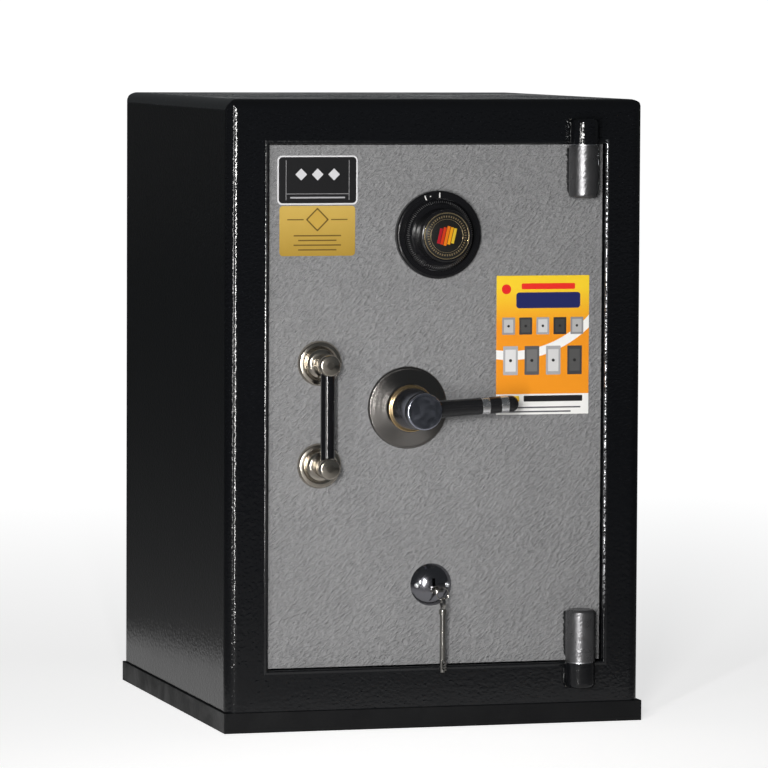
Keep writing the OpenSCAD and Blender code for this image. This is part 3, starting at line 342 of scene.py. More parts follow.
def finish_growth(tree, instances, material, out):
    """Ends a geometry tree: real geometry with its material."""
    whole = wire(tree, "GeometryNodeRealizeInstances", {"Geometry": instances}).outputs[0]
    smooth = wire(tree, "GeometryNodeSetShadeSmooth", {0: whole}).outputs[0]
    tree.links.new(wire(tree, "GeometryNodeSetMaterial", {
        "Geometry": smooth, "Material": material}).outputs[0], out["Geometry"])


bead_tree, bead_in, bead_out = growth(
    "weld_bead", Foot=(0.0, 0.0, 0.0), Head=(0.0, 0.0, 0.1), Ripples=30,
    Size=(0.004, 0.004, 0.004), Material=None)
row = wire(bead_tree, "GeometryNodeMeshLine", {
    "Count": bead_in["Ripples"], "Start Location": bead_in["Foot"], "Offset": bead_in["Head"]},
    mode="END_POINTS").outputs[0]
ripple = wire(bead_tree, "GeometryNodeMeshUVSphere", {"Segments": 10, "Rings": 6, "Radius": 0.5}).outputs[0]
jitter = wire(bead_tree, "FunctionNodeRandomValue", {
    "Min": (0.82, 0.8, 0.5), "Max": (1.1, 1.05, 0.75), "Seed": 5}, data_type="FLOAT_VECTOR").outputs[0]
grown_to = vectors(bead_tree, "MULTIPLY", jitter, bead_in["Size"])
lean = wire(bead_tree, "FunctionNodeRandomValue", {
    "Min": (0.2, -0.15, 0.0), "Max": (0.5, 0.15, 0.1), "Seed": 11}, data_type="FLOAT_VECTOR").outputs[0]
laid = wire(bead_tree, "GeometryNodeInstanceOnPoints", {
    "Points": row, "Instance": ripple, "Rotation": lean, "Scale": grown_to}).outputs[0]
finish_growth(bead_tree, laid, bead_in["Material"], bead_out)

face_y, door_face, knuckle_y, knuckle_r = -0.2325, -0.2225, -0.2375, 0.016
bead, bead_pitch, end_gap, standoff, sunk = 0.0052, 0.0019, 0.006, 0.0012, 0.0002
# the bead on the left of a door knuckle is built up until it fills the gap under it
built_x, built_y, built_deep = 0.0132, 0.0076, 0.0175
for name, node, body, sheet_y in (
        ("frame_weld_upper", "frame_hinge_upper", "cabinet", face_y),
        ("frame_weld_lower", "frame_hinge_lower", "cabinet", face_y),
        ("door_weld_upper", "door_hinge_upper", "door", door_face),
        ("door_weld_lower", "door_hinge_lower", "door", door_face)):
    low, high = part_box(node)
    knuckle_x = (low[0] + high[0]) / 2
    reach = sqrt(knuckle_r ** 2 - (sheet_y - knuckle_y) ** 2)
    for side, sign in (("left", -1), ("right", 1)):
        x, y, deep = knuckle_x + sign * (reach + standoff), sheet_y - sunk, bead
        if body == "door" and side == "left":
            x, y, deep = knuckle_x - built_x, sheet_y - built_y, built_deep
        grown(f"{name}_{side}", bead_tree, {
            "Foot": (x, y, low[2] + end_gap), "Head": (x, y, high[2] - end_gap),
            "Ripples": max(8, round((high[2] - low[2] - 2 * end_gap) / bead_pitch)),
            "Size": (bead, deep, bead)}, enamel, body)


# The lip: the folded edge of the front sheet round the opening, a soft round that stands a little
# proud of the sheet and is enamelled with it. On the hinge side it's rubbed bright in small spots.
def smoothed(mesh):
    """Shades a mesh smooth and keeps the edges sharp where it bends by more than 32 degrees."""
    mesh.shade_smooth()
    mesh.set_sharp_from_angle(angle=radians(32))
    return mesh


def kept(shape, name):
    """Turns a working mesh into a plain one."""
    mesh = bpy.data.meshes.new(name)
    shape.to_mesh(mesh)
    shape.free()
    return mesh


def apart(tree, vector):
    """The X, Y and Z of a vector."""
    return wire(tree, "ShaderNodeSeparateXYZ", {0: vector}).outputs


opening_left, opening_right, opening_low, opening_high = -0.185, 0.189, 0.065, 0.623
rubbed, tree, shader = paint("rubbed_enamel", enamel_black, 0.16)
at = apart(tree, here(tree))
chips = noise(tree, here(tree), 420.0, 2.0, 0.6)
from_edge = maths(tree, "SUBTRACT", at["X"], opening_right)
# the spots lie between these distances from the opening's edge, and fade out below these heights
rub_start, rub_end, rub_low = (-0.0018, -0.0013), (0.0014, 0.0019), (0.12, 0.2)
hinge_side = maths(tree, "MULTIPLY", spread(tree, from_edge, *rub_start), maths(
    tree, "MULTIPLY", spread(tree, from_edge, *rub_end, 1.0, 0.0), spread(tree, at["Z"], *rub_low)))
bare = maths(tree, "MULTIPLY", spread(tree, chips, 0.48, 0.54), hinge_side)
tree.links.new(bare, shader.inputs["Metallic"])
tree.links.new(tint(tree, bare, enamel_black, (0.7, 0.71, 0.74)), shader.inputs["Base Color"])
tree.links.new(spread(tree, chips, 0.3, 0.7, 0.12, 0.28), shader.inputs["Roughness"])
rippled(shader, *enamel_peel)
# the section across the lip: how far into the opening, and how far proud of the sheet
round_r, round_in = 0.002, 0.0014
lip_profile = [(-0.0002, -0.0034)] + [
    (round_r * cos(radians(a)) - round_in, round_r * sin(radians(a)) - round_in)
    for a in range(-30, 91, 10)] + [(-0.003, 0.0003), (-0.0045, -0.0004)]
lip = bmesh.new()
loops = [[lip.verts.new((x, face_y - proud, z)) for x, z in (
    (opening_left + inward, opening_low + inward), (opening_right - inward, opening_low + inward),
    (opening_right - inward, opening_high - inward), (opening_left + inward, opening_high - inward))]
    for inward, proud in lip_profile]
for lower, upper in zip(loops, loops[1:] + loops[:1]):
    for i in range(4):
        lip.faces.new((lower[i - 1], lower[i], upper[i], upper[i - 1]))
bmesh.ops.recalc_face_normals(lip, faces=lip.faces)
mounted("opening_lip", smoothed(kept(lip, "opening_lip")), rubbed, "cabinet")


# Stuck to the door: an anodised nameplate with a bright rim, a gold foil label under it and an
# advertising leaflet with a printed pattern. All three carry shapes and colours alone.
def slab(name, centre, size, corner, back_y, thick, material, replaced, rim=0.0, step=0.0):
    """A flat plate with rounded corners standing off a plane towards the front, its rim raised by a step."""
    def outline(inset):
        half_x, half_z, r = size[0] / 2 - inset, size[1] / 2 - inset, max(corner - inset, 0.0004)
        return [(centre[0] + sx * (half_x - r) + r * cos(radians(a)),
                 centre[1] + sz * (half_z - r) + r * sin(radians(a)))
                for sx, sz, start in ((1, 1, 0), (-1, 1, 90), (-1, -1, 180), (1, -1, 270))
                for a in range(start, start + 91, 15)]
    front = back_y - thick
    edge = min(thick * 0.4, 0.0003)
    loops = [(0.0, back_y), (0.0, front + edge), (edge, front)]
    if rim:
        loops += [(rim, front), (rim + step, front + step)]
    shape = bmesh.new()
    rings = [[shape.verts.new((x, y, z)) for x, z in outline(inset)] for inset, y in loops]
    for lower, upper in zip(rings, rings[1:]):
        for i in range(len(lower)):
            shape.faces.new((lower[i], lower[i - 1], upper[i - 1], upper[i]))
    shape.faces.new(rings[0])
    shape.faces.new(rings[-1])
    bmesh.ops.recalc_face_normals(shape, faces=shape.faces)
    return mounted(name, kept(shape, name), material, "door", replaced)


def stuck(node):
    """The middle, the size, the back and the thickness of a CAD node that lies flat on the door."""
    low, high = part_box(node)
    return ((low[0] + high[0]) / 2, (low[2] + high[2]) / 2, high[0] - low[0], high[2] - low[2],
            high[1], high[1] - low[1])


def joined(tree, **axes):
    """A vector of the X, Y and Z that are given."""
    return wire(tree, "ShaderNodeCombineXYZ", axes).outputs[0]


def length(tree, x, z):
    """How far x across and z up lead together."""
    return wire(tree, "ShaderNodeVectorMath", {0: joined(tree, X=x, Z=z)}, operation="LENGTH").outputs["Value"]


# Panel: distance from a point of the face to the edge of a rounded rectangle, below zero inside
panel, panel_in, panel_out = effect(
    "panel", {"Centre": (0.0, 0.0, 0.0), "Half": (0.01, 0.0, 0.01), "Corner": 0.002, "Lean": 0.0}, ["Distance"])
offset = vectors(panel, "SUBTRACT", here(panel), panel_in["Centre"])
swung = wire(panel, "ShaderNodeVectorRotate", {"Vector": offset, "Angle": panel_in["Lean"]},
             rotation_type="Y_AXIS").outputs[0]
beyond = vectors(panel, "SUBTRACT", vectors(panel, "ABSOLUTE", swung), panel_in["Half"])
past = apart(panel, beyond)
past_x = maths(panel, "ADD", past["X"], panel_in["Corner"])
past_z = maths(panel, "ADD", past["Z"], panel_in["Corner"])
outside = length(panel, maths(panel, "MAXIMUM", past_x, 0.0), maths(panel, "MAXIMUM", past_z, 0.0))
inside = maths(panel, "MINIMUM", maths(panel, "MAXIMUM", past_x, past_z), 0.0)
panel.links.new(
    maths(panel, "SUBTRACT", maths(panel, "ADD", outside, inside), panel_in["Corner"]), panel_out["Distance"])


def within(tree, centre, half, corner=0.0005, lean=0.0, soft=0.00015):
    """Mask of a rounded rectangle on the face: 1 inside it."""
    distance = place(tree, panel, Centre=(centre[0], 0.0, centre[1]), Half=(half[0], 0.0, half[1]),
                     Corner=corner, Lean=lean)["Distance"]
    return spread(tree, distance, -soft, soft, 1.0, 0.0)


def printed(tree, under, *patches):
    """Lays coloured masks over a colour, in order."""
    for mask, colour in patches:
        under = tint(tree, mask, under, colour)
    return under


plate_x, plate_z, plate_w, plate_h, plate_back, plate_t = stuck("nameplate")
anodised_black, rim_bright, rim_w = (0.008, 0.008, 0.009), (0.74, 0.74, 0.76), 0.0016
anodised, tree, shader = paint("nameplate_black", anodised_black, 0.3)
rim = maths(tree, "SUBTRACT", 1.0, within(
    tree, (plate_x, plate_z), (plate_w / 2 - rim_w, plate_h / 2 - rim_w), 0.004))
hairlines = [within(tree, (plate_x + x, plate_z + z), half, 0.0001, 0.0, 0.0001) for x, z, half in (
    (-0.0345, 0.0, (0.0003, 0.021)), (0.0345, 0.0, (0.0003, 0.021)), (0.0, -0.0145, (0.034, 0.0003)))]
patches = [(mask, (0.3, 0.3, 0.31)) for mask in hairlines]
# a row of plain diamonds and bars
patches += [(within(tree, (plate_x + x, plate_z + 0.006), (0.0045, 0.0045), 0.0006, radians(45)),
             (0.62, 0.62, 0.64)) for x in (-0.018, 0.0, 0.018)]
patches += [(within(tree, (plate_x, plate_z - 0.0185), (0.03, 0.0008), 0.0004), (0.4, 0.4, 0.42))]
tree.links.new(printed(tree, anodised_black, *patches, (rim, rim_bright)), shader.inputs["Base Color"])
slab("nameplate_dressed", (plate_x, plate_z), (plate_w, plate_h), 0.005, plate_back, plate_t,
     anodised, ("nameplate",), 0.0012, 0.0002)

foil_x, foil_z, foil_w, foil_h, foil_back, foil_t = stuck("foil_label")
gold, ink = (0.62, 0.4, 0.07), (0.17, 0.1, 0.015)
foil, tree, shader = paint("gold_foil", gold, 0.38, metallic=0.35)
patches = [(within(tree, (foil_x, foil_z + 0.012), (0.009, 0.009), 0.001, radians(45)), ink),
           (within(tree, (foil_x, foil_z + 0.012), (0.0075, 0.0075), 0.001, radians(45)), gold)]
patches += [(within(tree, (foil_x + x, foil_z + 0.012), (0.009, 0.0006), 0.0003), ink)
            for x in (-0.024, 0.024)]
patches += [(within(tree, (foil_x, foil_z - 0.005 - 0.005 * i), (0.026 - 0.005 * (i % 2), 0.0007), 0.0003), ink)
            for i in range(4)]
# the foil is painted lighter towards its top: a painted sheen
painted_sheen = spread(tree, maths(tree, "ADD", apart(tree, here(tree))["Z"], -foil_z), -foil_h / 2, foil_h / 2)
tree.links.new(printed(tree, tint(tree, painted_sheen, (0.46, 0.29, 0.04), (0.68, 0.46, 0.1)), *patches),
               shader.inputs["Base Color"])
raise_by(shader, noise(tree, here(tree), 120.0), 0.0006, 0.3)
slab("foil_label_dressed", (foil_x, foil_z), (foil_w, foil_h), 0.004, foil_back, foil_t,
     foil, ("foil_label",))

sheet_x, sheet_z, sheet_w, sheet_h, sheet_back, sheet_t = stuck("leaflet")
leaflet_print, tree, shader = paint("leaflet_print", (0.9, 0.5, 0.05), 0.3)
at = apart(tree, here(tree))
down = maths(tree, "ADD", at["Z"], -sheet_z)
across = maths(tree, "ADD", at["X"], -sheet_x)
ground = tint(tree, spread(tree, down, 0.02, 0.062), (0.86, 0.3, 0.015), (0.9, 0.62, 0.03))
# the swoosh: a white band along a wide arc
swing = length(tree, maths(tree, "ADD", across, 0.035), maths(tree, "ADD", down, -0.112))
swoosh = maths(tree, "MULTIPLY", spread(tree, swing, 0.118, 0.1184), spread(tree, swing, 0.128, 0.1276))
ground = printed(tree, ground, (swoosh, (0.88, 0.88, 0.86)))
foot = within(tree, (sheet_x, sheet_z - 0.066), (sheet_w / 2 + 0.002, 0.0135))
patches = [(within(tree, (sheet_x + 0.006, sheet_z + 0.048), (0.036, 0.0085), 0.0035), (0.015, 0.02, 0.11)),
           (within(tree, (sheet_x - 0.041, sheet_z + 0.06), (0.0052, 0.0052), 0.005), (0.75, 0.02, 0.02)),
           (within(tree, (sheet_x + 0.006, sheet_z + 0.063), (0.03, 0.0032), 0.0015), (0.8, 0.03, 0.02))]
for row_z, half, tones in ((0.0205, (0.0072, 0.0092), (0.3, 0.045, 0.36, 0.03, 0.26)),
                           (-0.0165, (0.0082, 0.0155), (0.42, 0.1, 0.38, 0.05))):
    pitch = 0.096 / len(tones)
    for i, tone in enumerate(tones):
        box = (sheet_x + (i - (len(tones) - 1) / 2) * pitch, sheet_z + row_z)
        patches += [(within(tree, box, half, 0.0008), (tone, tone, tone * 1.03)),
                    (within(tree, box, (half[0] * 0.72, half[1] * 0.76)), (tone * 1.7,) * 3),
                    (within(tree, box, (half[0] * 0.2, half[0] * 0.2), 0.0015), (0.02, 0.02, 0.02))]
patches += [(foot, (0.86, 0.86, 0.84)),
            (within(tree, (sheet_x + 0.012, sheet_z - 0.0575), (0.033, 0.0032), 0.001), (0.012, 0.012, 0.014)),
            (within(tree, (sheet_x - 0.035, sheet_z - 0.0575), (0.009, 0.0032), 0.001), (0.85, 0.55, 0.02)),
            (within(tree, (sheet_x, sheet_z - 0.067), (0.043, 0.0008), 0.0004), (0.1, 0.1, 0.11)),
            (within(tree, (sheet_x - 0.004, sheet_z - 0.0715), (0.036, 0.0008), 0.0004), (0.1, 0.1, 0.11))]
tree.links.new(printed(tree, ground, *patches), shader.inputs["Base Color"])
slab("leaflet_dressed", (sheet_x, sheet_z), (sheet_w, sheet_h), 0.0006, sheet_back, sheet_t,
     leaflet_print, ("leaflet",))


# The dial: a black ring pressed into the door plate with its index marks, and inside it a turned
# knob with a graduated skirt. A printed badge behind a clear face fills the knob's front.
def fillet(points, radii):
    """A profile of (radius, proud) points with its corners rounded by the given radii."""
    rounded = [points[0]]
    for i in range(1, len(points) - 1):
        before, corner, after = (Vector(p) for p in points[i - 1:i + 2])
        to_before, to_after = before - corner, after - corner
        r = radii[i - 1] if isinstance(radii, (list, tuple)) else radii
        half = to_before.angle(to_after) / 2
        if r <= 0 or abs(half - pi / 2) < 0.02:
            rounded.append(tuple(corner))
            continue
        cut = min(r / tan(half), to_before.length * 0.48, to_after.length * 0.48)
        r = cut * tan(half)
        start, end = corner + to_before.normalized() * cut, corner + to_after.normalized() * cut
        middle = corner + (to_before.normalized() + to_after.normalized()).normalized() * (r / sin(half))
        a0 = atan2(start.y - middle.y, start.x - middle.x)
        turn = atan2(end.y - middle.y, end.x - middle.x) - a0
        turn = (turn + pi) % (2 * pi) - pi
        rounded += [(middle.x + r * cos(a0 + turn * k / 4), middle.y + r * sin(a0 + turn * k / 4))
                    for k in range(5)]
    return rounded + [points[-1]]


def lathe(name, profile, centre, steps=96, flute=None):
    """Turns a profile of (radius, proud) round an axis along -Y through a centre; flute varies the radius by angle."""
    shape = bmesh.new()
    rings = []
    for radius, proud in profile:
        if radius < 1e-6:
            rings.append([shape.verts.new((centre[0], centre[1] - proud, centre[2]))])
            continue
        rings.append([])
        for i in range(steps):
            a = 2 * pi * i / steps
            r = radius + (flute(i, radius, proud) if flute else 0.0)
            rings[-1].append(shape.verts.new((
                centre[0] + r * cos(a), centre[1] - proud, centre[2] + r * sin(a))))
    for lower, upper in zip(rings, rings[1:]):
        for i in range(steps):
            j = (i + 1) % steps
            corners = [lower[i % len(lower)], lower[j % len(lower)], upper[j % len(upper)], upper[i % len(upper)]]
            corners = [v for k, v in enumerate(corners) if v not in corners[:k]]
            if len(corners) > 2:
                shape.faces.new(corners)
    bmesh.ops.remove_doubles(shape, verts=shape.verts, dist=1e-7)
    bmesh.ops.recalc_face_normals(shape, faces=shape.faces)
    return smoothed(kept(shape, name))


dial_x, dial_z = 0.003, 0.526
dial_centre = (dial_x, door_face, dial_z)

# Turned lines: the fine rings that a lathe tool leaves, by the distance from an axis
turning, turning_in, turning_out = effect(
    "turning", {"Axis": (0.0, 0.0, 0.0), "Pitch": 0.0007, "Clean": 0.12, "Dull": 0.3}, ["Height", "Roughness"])
offset = apart(turning, vectors(turning, "SUBTRACT", here(turning), turning_in["Axis"]))
from_axis = length(turning, offset["X"], offset["Z"])
rings = wire(turning, "ShaderNodeTexNoise", {
    "W": maths(turning, "DIVIDE", maths(turning, "MULTIPLY_ADD", offset["Y"], 1.7, from_axis), turning_in["Pitch"]),
    "Scale": 1.0, "Detail": 2.0}, noise_dimensions="1D").outputs[0]
turning.links.new(rings, turning_out["Height"])
turning.links.new(
    spread(turning, rings, 0.35, 0.65, turning_in["Clean"], turning_in["Dull"]), turning_out["Roughness"])


def turned(shader, axis, pitch, clean, dull, depth=0.0, strength=1.0):
    """Gives a surface its turned rings round an axis, as relief too if they have a depth."""
    tree = shader.id_data
    rings = place(tree, turning, Axis=axis, Pitch=pitch, Clean=clean, Dull=dull)
    tree.links.new(rings["Roughness"], shader.inputs["Roughness"])
    if depth:
        raise_by(shader, rings["Height"], depth, strength)


dial_black, tree, shader = paint("dial_black", (0.006, 0.006, 0.007), 0.14)
turned(shader, dial_centre, 0.0011, 0.08, 0.22, 0.00012, 0.35)
coat(dial_black, "dial_ring", "dial_knob")

index_white, tree, shader = paint("index_white", (0.75, 0.75, 0.73), 0.5)
tree.links.new(tint(tree, spread(tree, noise(tree, here(tree), 900.0), 0.3, 0.6),
                    (0.45, 0.45, 0.44), (0.8, 0.8, 0.78)), shader.inputs["Base Color"])
dial_white, tree, shader = paint("dial_white", (0.2, 0.2, 0.2), 0.5)
tree.links.new(tint(tree, spread(tree, noise(tree, here(tree), 700.0), 0.3, 0.7),
                    (0.05, 0.05, 0.05), (0.2, 0.2, 0.2)), shader.inputs["Base Color"])

# Ticks in a ring: thin raised bars laid radially on a skirt that slopes inwards
tick_tree, tick_in, tick_out = growth(
    "skirt_ticks", Centre=(0.0, 0.0, 0.0), Count=100, Radius=0.03, Length=0.003, Width=0.0004, Slope=0.5,
    Every=10, Extra=0.5, Material=None)
circle = wire(tick_tree, "GeometryNodeMeshCircle", {"Vertices": tick_in["Count"], "Radius": tick_in["Radius"]},
              fill_type="NONE").outputs[0]
order = wire(tick_tree, "GeometryNodeInputIndex").outputs[0]
long_one = maths(tick_tree, "LESS_THAN", maths(tick_tree, "MODULO", order, tick_in["Every"]), 0.5)
turn = joined(tick_tree, Z=maths(
    tick_tree, "MULTIPLY", order, maths(tick_tree, "DIVIDE", 2 * pi, tick_in["Count"])))
tick_size = joined(tick_tree, Y=tick_in["Width"], Z=0.0002, X=maths(
    tick_tree, "MULTIPLY", tick_in["Length"], maths(tick_tree, "MULTIPLY_ADD", long_one, tick_in["Extra"], 1.0)))
bar = wire(tick_tree, "GeometryNodeMeshCube", {"Size": (1.0, 1.0, 1.0)}).outputs[0]
laid = wire(tick_tree, "GeometryNodeInstanceOnPoints", {
    "Points": circle, "Instance": bar, "Rotation": turn, "Scale": tick_size}).outputs[0]
leaned = wire(tick_tree, "GeometryNodeRotateInstances", {
    "Instances": laid, "Rotation": joined(tick_tree, Y=tick_in["Slope"]), "Local Space": True}).outputs[0]
stood = wire(tick_tree, "GeometryNodeTransform", {
    "Geometry": leaned, "Translation": tick_in["Centre"], "Rotation": (radians(90), 0.0, 0.0)}).outputs[0]
finish_growth(tick_tree, stood, tick_in["Material"], tick_out)

# the knob's skirt runs from radius 38 at 8 mm proud to 32.5 at 14 mm
slope = atan2(6.0, 5.5)
grown("knob_ticks", tick_tree, {
    "Centre": (dial_x, door_face - 0.0108, dial_z), "Count": 100, "Radius": 0.0354, "Length": 0.0026,
    "Width": 0.00045, "Slope": slope, "Every": 10, "Extra": 0.7}, dial_white, "dial")

# each mark on the ring: its turn from the top, the radii it runs between and its width
ring_proud, mark_t, marks = 0.00805, 0.00024, bmesh.new()
for angle, inner, outer, width in ((0.0, 0.0395, 0.0448, 0.0014), (-21.7, 0.0395, 0.0448, 0.0012),
                                   (-14.0, 0.0415, 0.0428, 0.0012)):
    a = radians(angle)
    r = (inner + outer) / 2
    mark = bmesh.ops.create_cube(marks, size=2.0)["verts"]
    bmesh.ops.scale(marks, vec=(width / 2, mark_t / 2, (outer - inner) / 2), verts=mark)
    bmesh.ops.rotate(marks, cent=(0, 0, 0), matrix=Matrix.Rotation(a, 3, "Y"), verts=mark)
    bmesh.ops.translate(
        marks, vec=(dial_x + r * sin(a), door_face - ring_proud, dial_z + r * cos(a)), verts=mark)
bmesh.ops.recalc_face_normals(marks, faces=marks.faces)
mounted("index_marks", kept(marks, "index_marks"), index_white, "door")

# The badge: a dark printed disc under a clear cap, held by a gilt rim, with a thin gilt ring inside
badge_black = (0.012, 0.012, 0.011)
badge_print, tree, shader = paint("dial_badge_print", badge_black, 0.16)
at = apart(tree, vectors(tree, "SUBTRACT", here(tree), dial_centre))
from_centre = length(tree, at["X"], at["Z"])
badge_ticks = 48
around = maths(tree, "FRACT", maths(
    tree, "MULTIPLY", maths(tree, "ARCTAN2", at["Z"], at["X"]), badge_ticks / (2 * pi)))
ticks = maths(tree, "MULTIPLY", maths(tree, "LESS_THAN", around, 0.4), maths(
    tree, "MULTIPLY", spread(tree, from_centre, 0.0193, 0.0195), spread(tree, from_centre, 0.0217, 0.0215)))
patches = [(ticks, (0.17, 0.13, 0.07))]
for i, colour in enumerate(((0.33, 0.01, 0.02), (0.5, 0.035, 0.01), (0.66, 0.16, 0.01), (0.7, 0.3, 0.012),
                            (0.62, 0.42, 0.03))):
    patches.append((within(tree, (dial_x + (i - 2) * 0.0039, dial_z), (0.0016, 0.0105 - abs(i - 2) * 0.0012), 0.0003,
                           radians(-13)), colour))
tree.links.new(printed(tree, badge_black, *patches), shader.inputs["Base Color"])
badge_r, badge_back = 0.0249, 0.0351
mounted("badge_disc", lathe("badge_disc", [(0.0, 0.03585), (0.0244, 0.0358), (badge_r, 0.0355), (badge_r, badge_back),
                                           (0.0, badge_back)], dial_centre), badge_print,
        "dial", ("dial_badge",))
gilt, tree, shader = paint("gilt", (0.85, 0.68, 0.4), 0.22, metallic=1.0)
turned(shader, dial_centre, 0.0004, 0.14, 0.3)
foot = 0.0357
for name, inner, outer, top in (("badge_rim", 0.0238, badge_r, 0.03599), ("badge_ring", 0.01752, 0.018, 0.03592)):
    mounted(name, lathe(name, fillet([
        (inner, foot), (inner, top), (outer, top), (outer, foot), (inner, foot)], 0.0001), dial_centre),
        gilt, "dial")


# The lever: a chromed cone on the door, a brass collar, a turned hub whose shaft goes through the
# plate, and a black plastic grip with two knurled bright bands pressed on near its end.
lever_centre = (-0.029, door_face, 0.342)
chrome, tree, shader = paint("chrome", (0.21, 0.2, 0.19), 0.2, metallic=1.0)
turned(shader, lever_centre, 0.0009, 0.12, 0.26, 0.0001, 0.3)
shader.inputs["Anisotropic"].default_value = 0.85
round_axis = wire(tree, "ShaderNodeTangent", direction_type="RADIAL", axis="Y").outputs[0]
tree.links.new(round_axis, shader.inputs["Tangent"])
coat(chrome, "lever_flange")

hub_chrome, tree, shader = paint("hub_chrome", (0.42, 0.44, 0.52), 0.1, metallic=1.0)
worn(shader, 0.12, 0.26, 70.0)
coat(hub_chrome, "lever_hub")

collar_brass, tree, shader = paint("collar_brass", (0.72, 0.52, 0.27), 0.16, metallic=1.0)
turned(shader, lever_centre, 0.0006, 0.1, 0.25)
coat(collar_brass, "lever_collar")

grip_black, tree, shader = paint("grip_black", (0.009, 0.009, 0.01), 0.2)
brushed(shader, (40.0, 900.0, 900.0), 0.14, 0.3, 0.3)
coat(grip_black, "lever_grip")

band_metal, tree, shader = paint("band_metal", (0.85, 0.85, 0.86), 0.2, metallic=1.0)
worn(shader, 0.14, 0.34, 160.0)
grip_proud, grip_tilt, grip_length = 0.05, radians(3.5), 0.108
grip_root_r, grip_tip_r, band_seat_r = 0.0095, 0.00875, 0.00775
along = Vector((cos(grip_tilt), 0.0, sin(grip_tilt)))
side = Vector((0.0, 1.0, 0.0))
grip_frame = Matrix((side, -along, side.cross(-along))).transposed().to_4x4()
grip_frame.translation = (lever_centre[0], lever_centre[1] - grip_proud, lever_centre[2])
# the bands: how deep the knurling is cut, its pitch, and the bevel at their ends
knurl, knurl_pitch, band_width, band_proud, bevel = 0.00022, 0.0007, 0.0085, 0.0003, 0.0004
knurled = bmesh.new()
for start in (0.0665, 0.0875):
    radius = grip_root_r + (grip_tip_r - grip_root_r) * start / grip_length + band_proud
    rows = round((band_width - 2 * knurl_pitch) / knurl_pitch)
    profile = [(band_seat_r, start), (radius - bevel, start), (radius, start + bevel)]
    profile += [(radius, start + knurl_pitch + i * knurl_pitch) for i in range(rows)]
    profile += [(radius, start + band_width - bevel), (radius - bevel, start + band_width),
                (band_seat_r, start + band_width), (band_seat_r, start)]
    band = lathe("band", profile, (0, 0, 0), 72, lambda i, r, proud: -knurl if (
        r > radius - 0.0001 and (i + round((proud - start) / knurl_pitch)) % 2) else 0.0)
    knurled.from_mesh(band)
    bpy.data.meshes.remove(band)
knurled.transform(grip_frame)
mounted("grip_bands_knurled", kept(knurled, "grip_bands_knurled"), band_metal, "lever", ("grip_bands",))


# The key lock: a chromed dome pressed of sheet over the keyhole with a slotted screw at each side,
# a steel key in it, and a second key hanging from a ring of split wire.
key_x, dome_z = -0.002, 0.152
dome_centre = (key_x, door_face, dome_z)
dome_chrome, tree, shader = paint("dome_chrome", (0.22, 0.22, 0.24), 0.1, metallic=1.0)
turned(shader, dome_centre, 0.0012, 0.08, 0.22)
coat(dome_chrome, "key_escutcheon")

key_steel, tree, shader = paint("key_steel", (0.36, 0.35, 0.33), 0.12, metallic=1.0)
worn(shader, 0.08, 0.2, 120.0)
coat(key_steel, "lock_key", "key_ring", "spare_key")


def screw_tree(name, cuts):
    """Screw heads on given points, tipped out of the plane they stand on, with one or two cuts across."""
    tree, given, out = growth(
        name, Radius=0.003, Height=0.002, Cut=0.0008, Depth=0.001, Turn=0.3, Tip=radians(90), Material=None)
    head = wire(tree, "GeometryNodeMeshCone", {
        "Vertices": 24, "Radius Top": maths(tree, "MULTIPLY", given["Radius"], 0.9),
        "Radius Bottom": given["Radius"], "Depth": given["Height"]}).outputs[0]
    groove = wire(tree, "GeometryNodeMeshCube", {"Size": joined(
        tree, X=given["Cut"], Y=maths(tree, "MULTIPLY", given["Radius"], 2.6 if cuts == 1 else 1.2),
        Z=maths(tree, "MULTIPLY", given["Depth"], 2.0))}).outputs[0]
    lifted = wire(tree, "GeometryNodeTransform", {
        "Geometry": groove, "Translation": joined(tree, Z=given["Height"])}).outputs[0]
    for i in range(cuts):
        laid_across = wire(tree, "GeometryNodeTransform", {
            "Geometry": lifted, "Rotation": (0.0, 0.0, radians(90 * i))}).outputs[0]
        carve = wire(tree, "GeometryNodeMeshBoolean", {0: head}, operation="DIFFERENCE")
        tree.links.new(laid_across, carve.inputs[1])
        head = carve.outputs[0]
    facing = wire(tree, "GeometryNodeTransform", {
        "Geometry": head, "Rotation": joined(tree, X=given["Tip"])}).outputs[0]
    turn = wire(tree, "FunctionNodeRandomValue", {2: -1.6, 3: 1.6, "Seed": 3}, data_type="FLOAT").outputs[1]
    laid = wire(tree, "GeometryNodeInstanceOnPoints", {
        "Points": given["Places"], "Instance": facing,
        "Rotation": joined(tree, Y=maths(tree, "MULTIPLY", turn, given["Turn"]))}).outputs[0]
    finish_growth(tree, laid, given["Material"], out)
    return tree


screw_steel, tree, shader = paint("screw_steel", (0.85, 0.87, 0.9), 0.3, metallic=0.8)
worn(shader, 0.16, 0.4, 200.0)
dome_screw_gap = 0.033
grown("dome_screws_slotted", screw_tree("slotted_screws", 1), {
    "Radius": 0.003, "Height": 0.00605, "Cut": 0.0009, "Depth": 0.0011, "Turn": 0.4, "Tip": radians(90)},
    screw_steel, "door", ("escutcheon_screws",),
    [(key_x + side * dome_screw_gap / 2, door_face, dome_z) for side in (-1, 1)])

# the screws of the sheet cover on the door's back, with a cross cut in each head
low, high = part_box("cover_screws")
screw_r, screw_t = 0.004, 0.002
screw_xs = (low[0] + screw_r, (low[0] + high[0]) / 2, high[0] - screw_r)
screw_zs = [low[2] + screw_r + i * (high[2] - low[2] - 2 * screw_r) / 3 for i in range(4)]
grown("cover_screws_crossed", screw_tree("crossed_screws", 2), {
    "Radius": screw_r, "Height": screw_t, "Cut": 0.0011, "Depth": 0.0011, "Turn": 1.0, "Tip": radians(-90)},
    screw_steel, "door", ("cover_screws",),
    [(x, high[1] - screw_t, z) for x in screw_xs for z in screw_zs if x != screw_xs[1] or z in screw_zs[::3]])


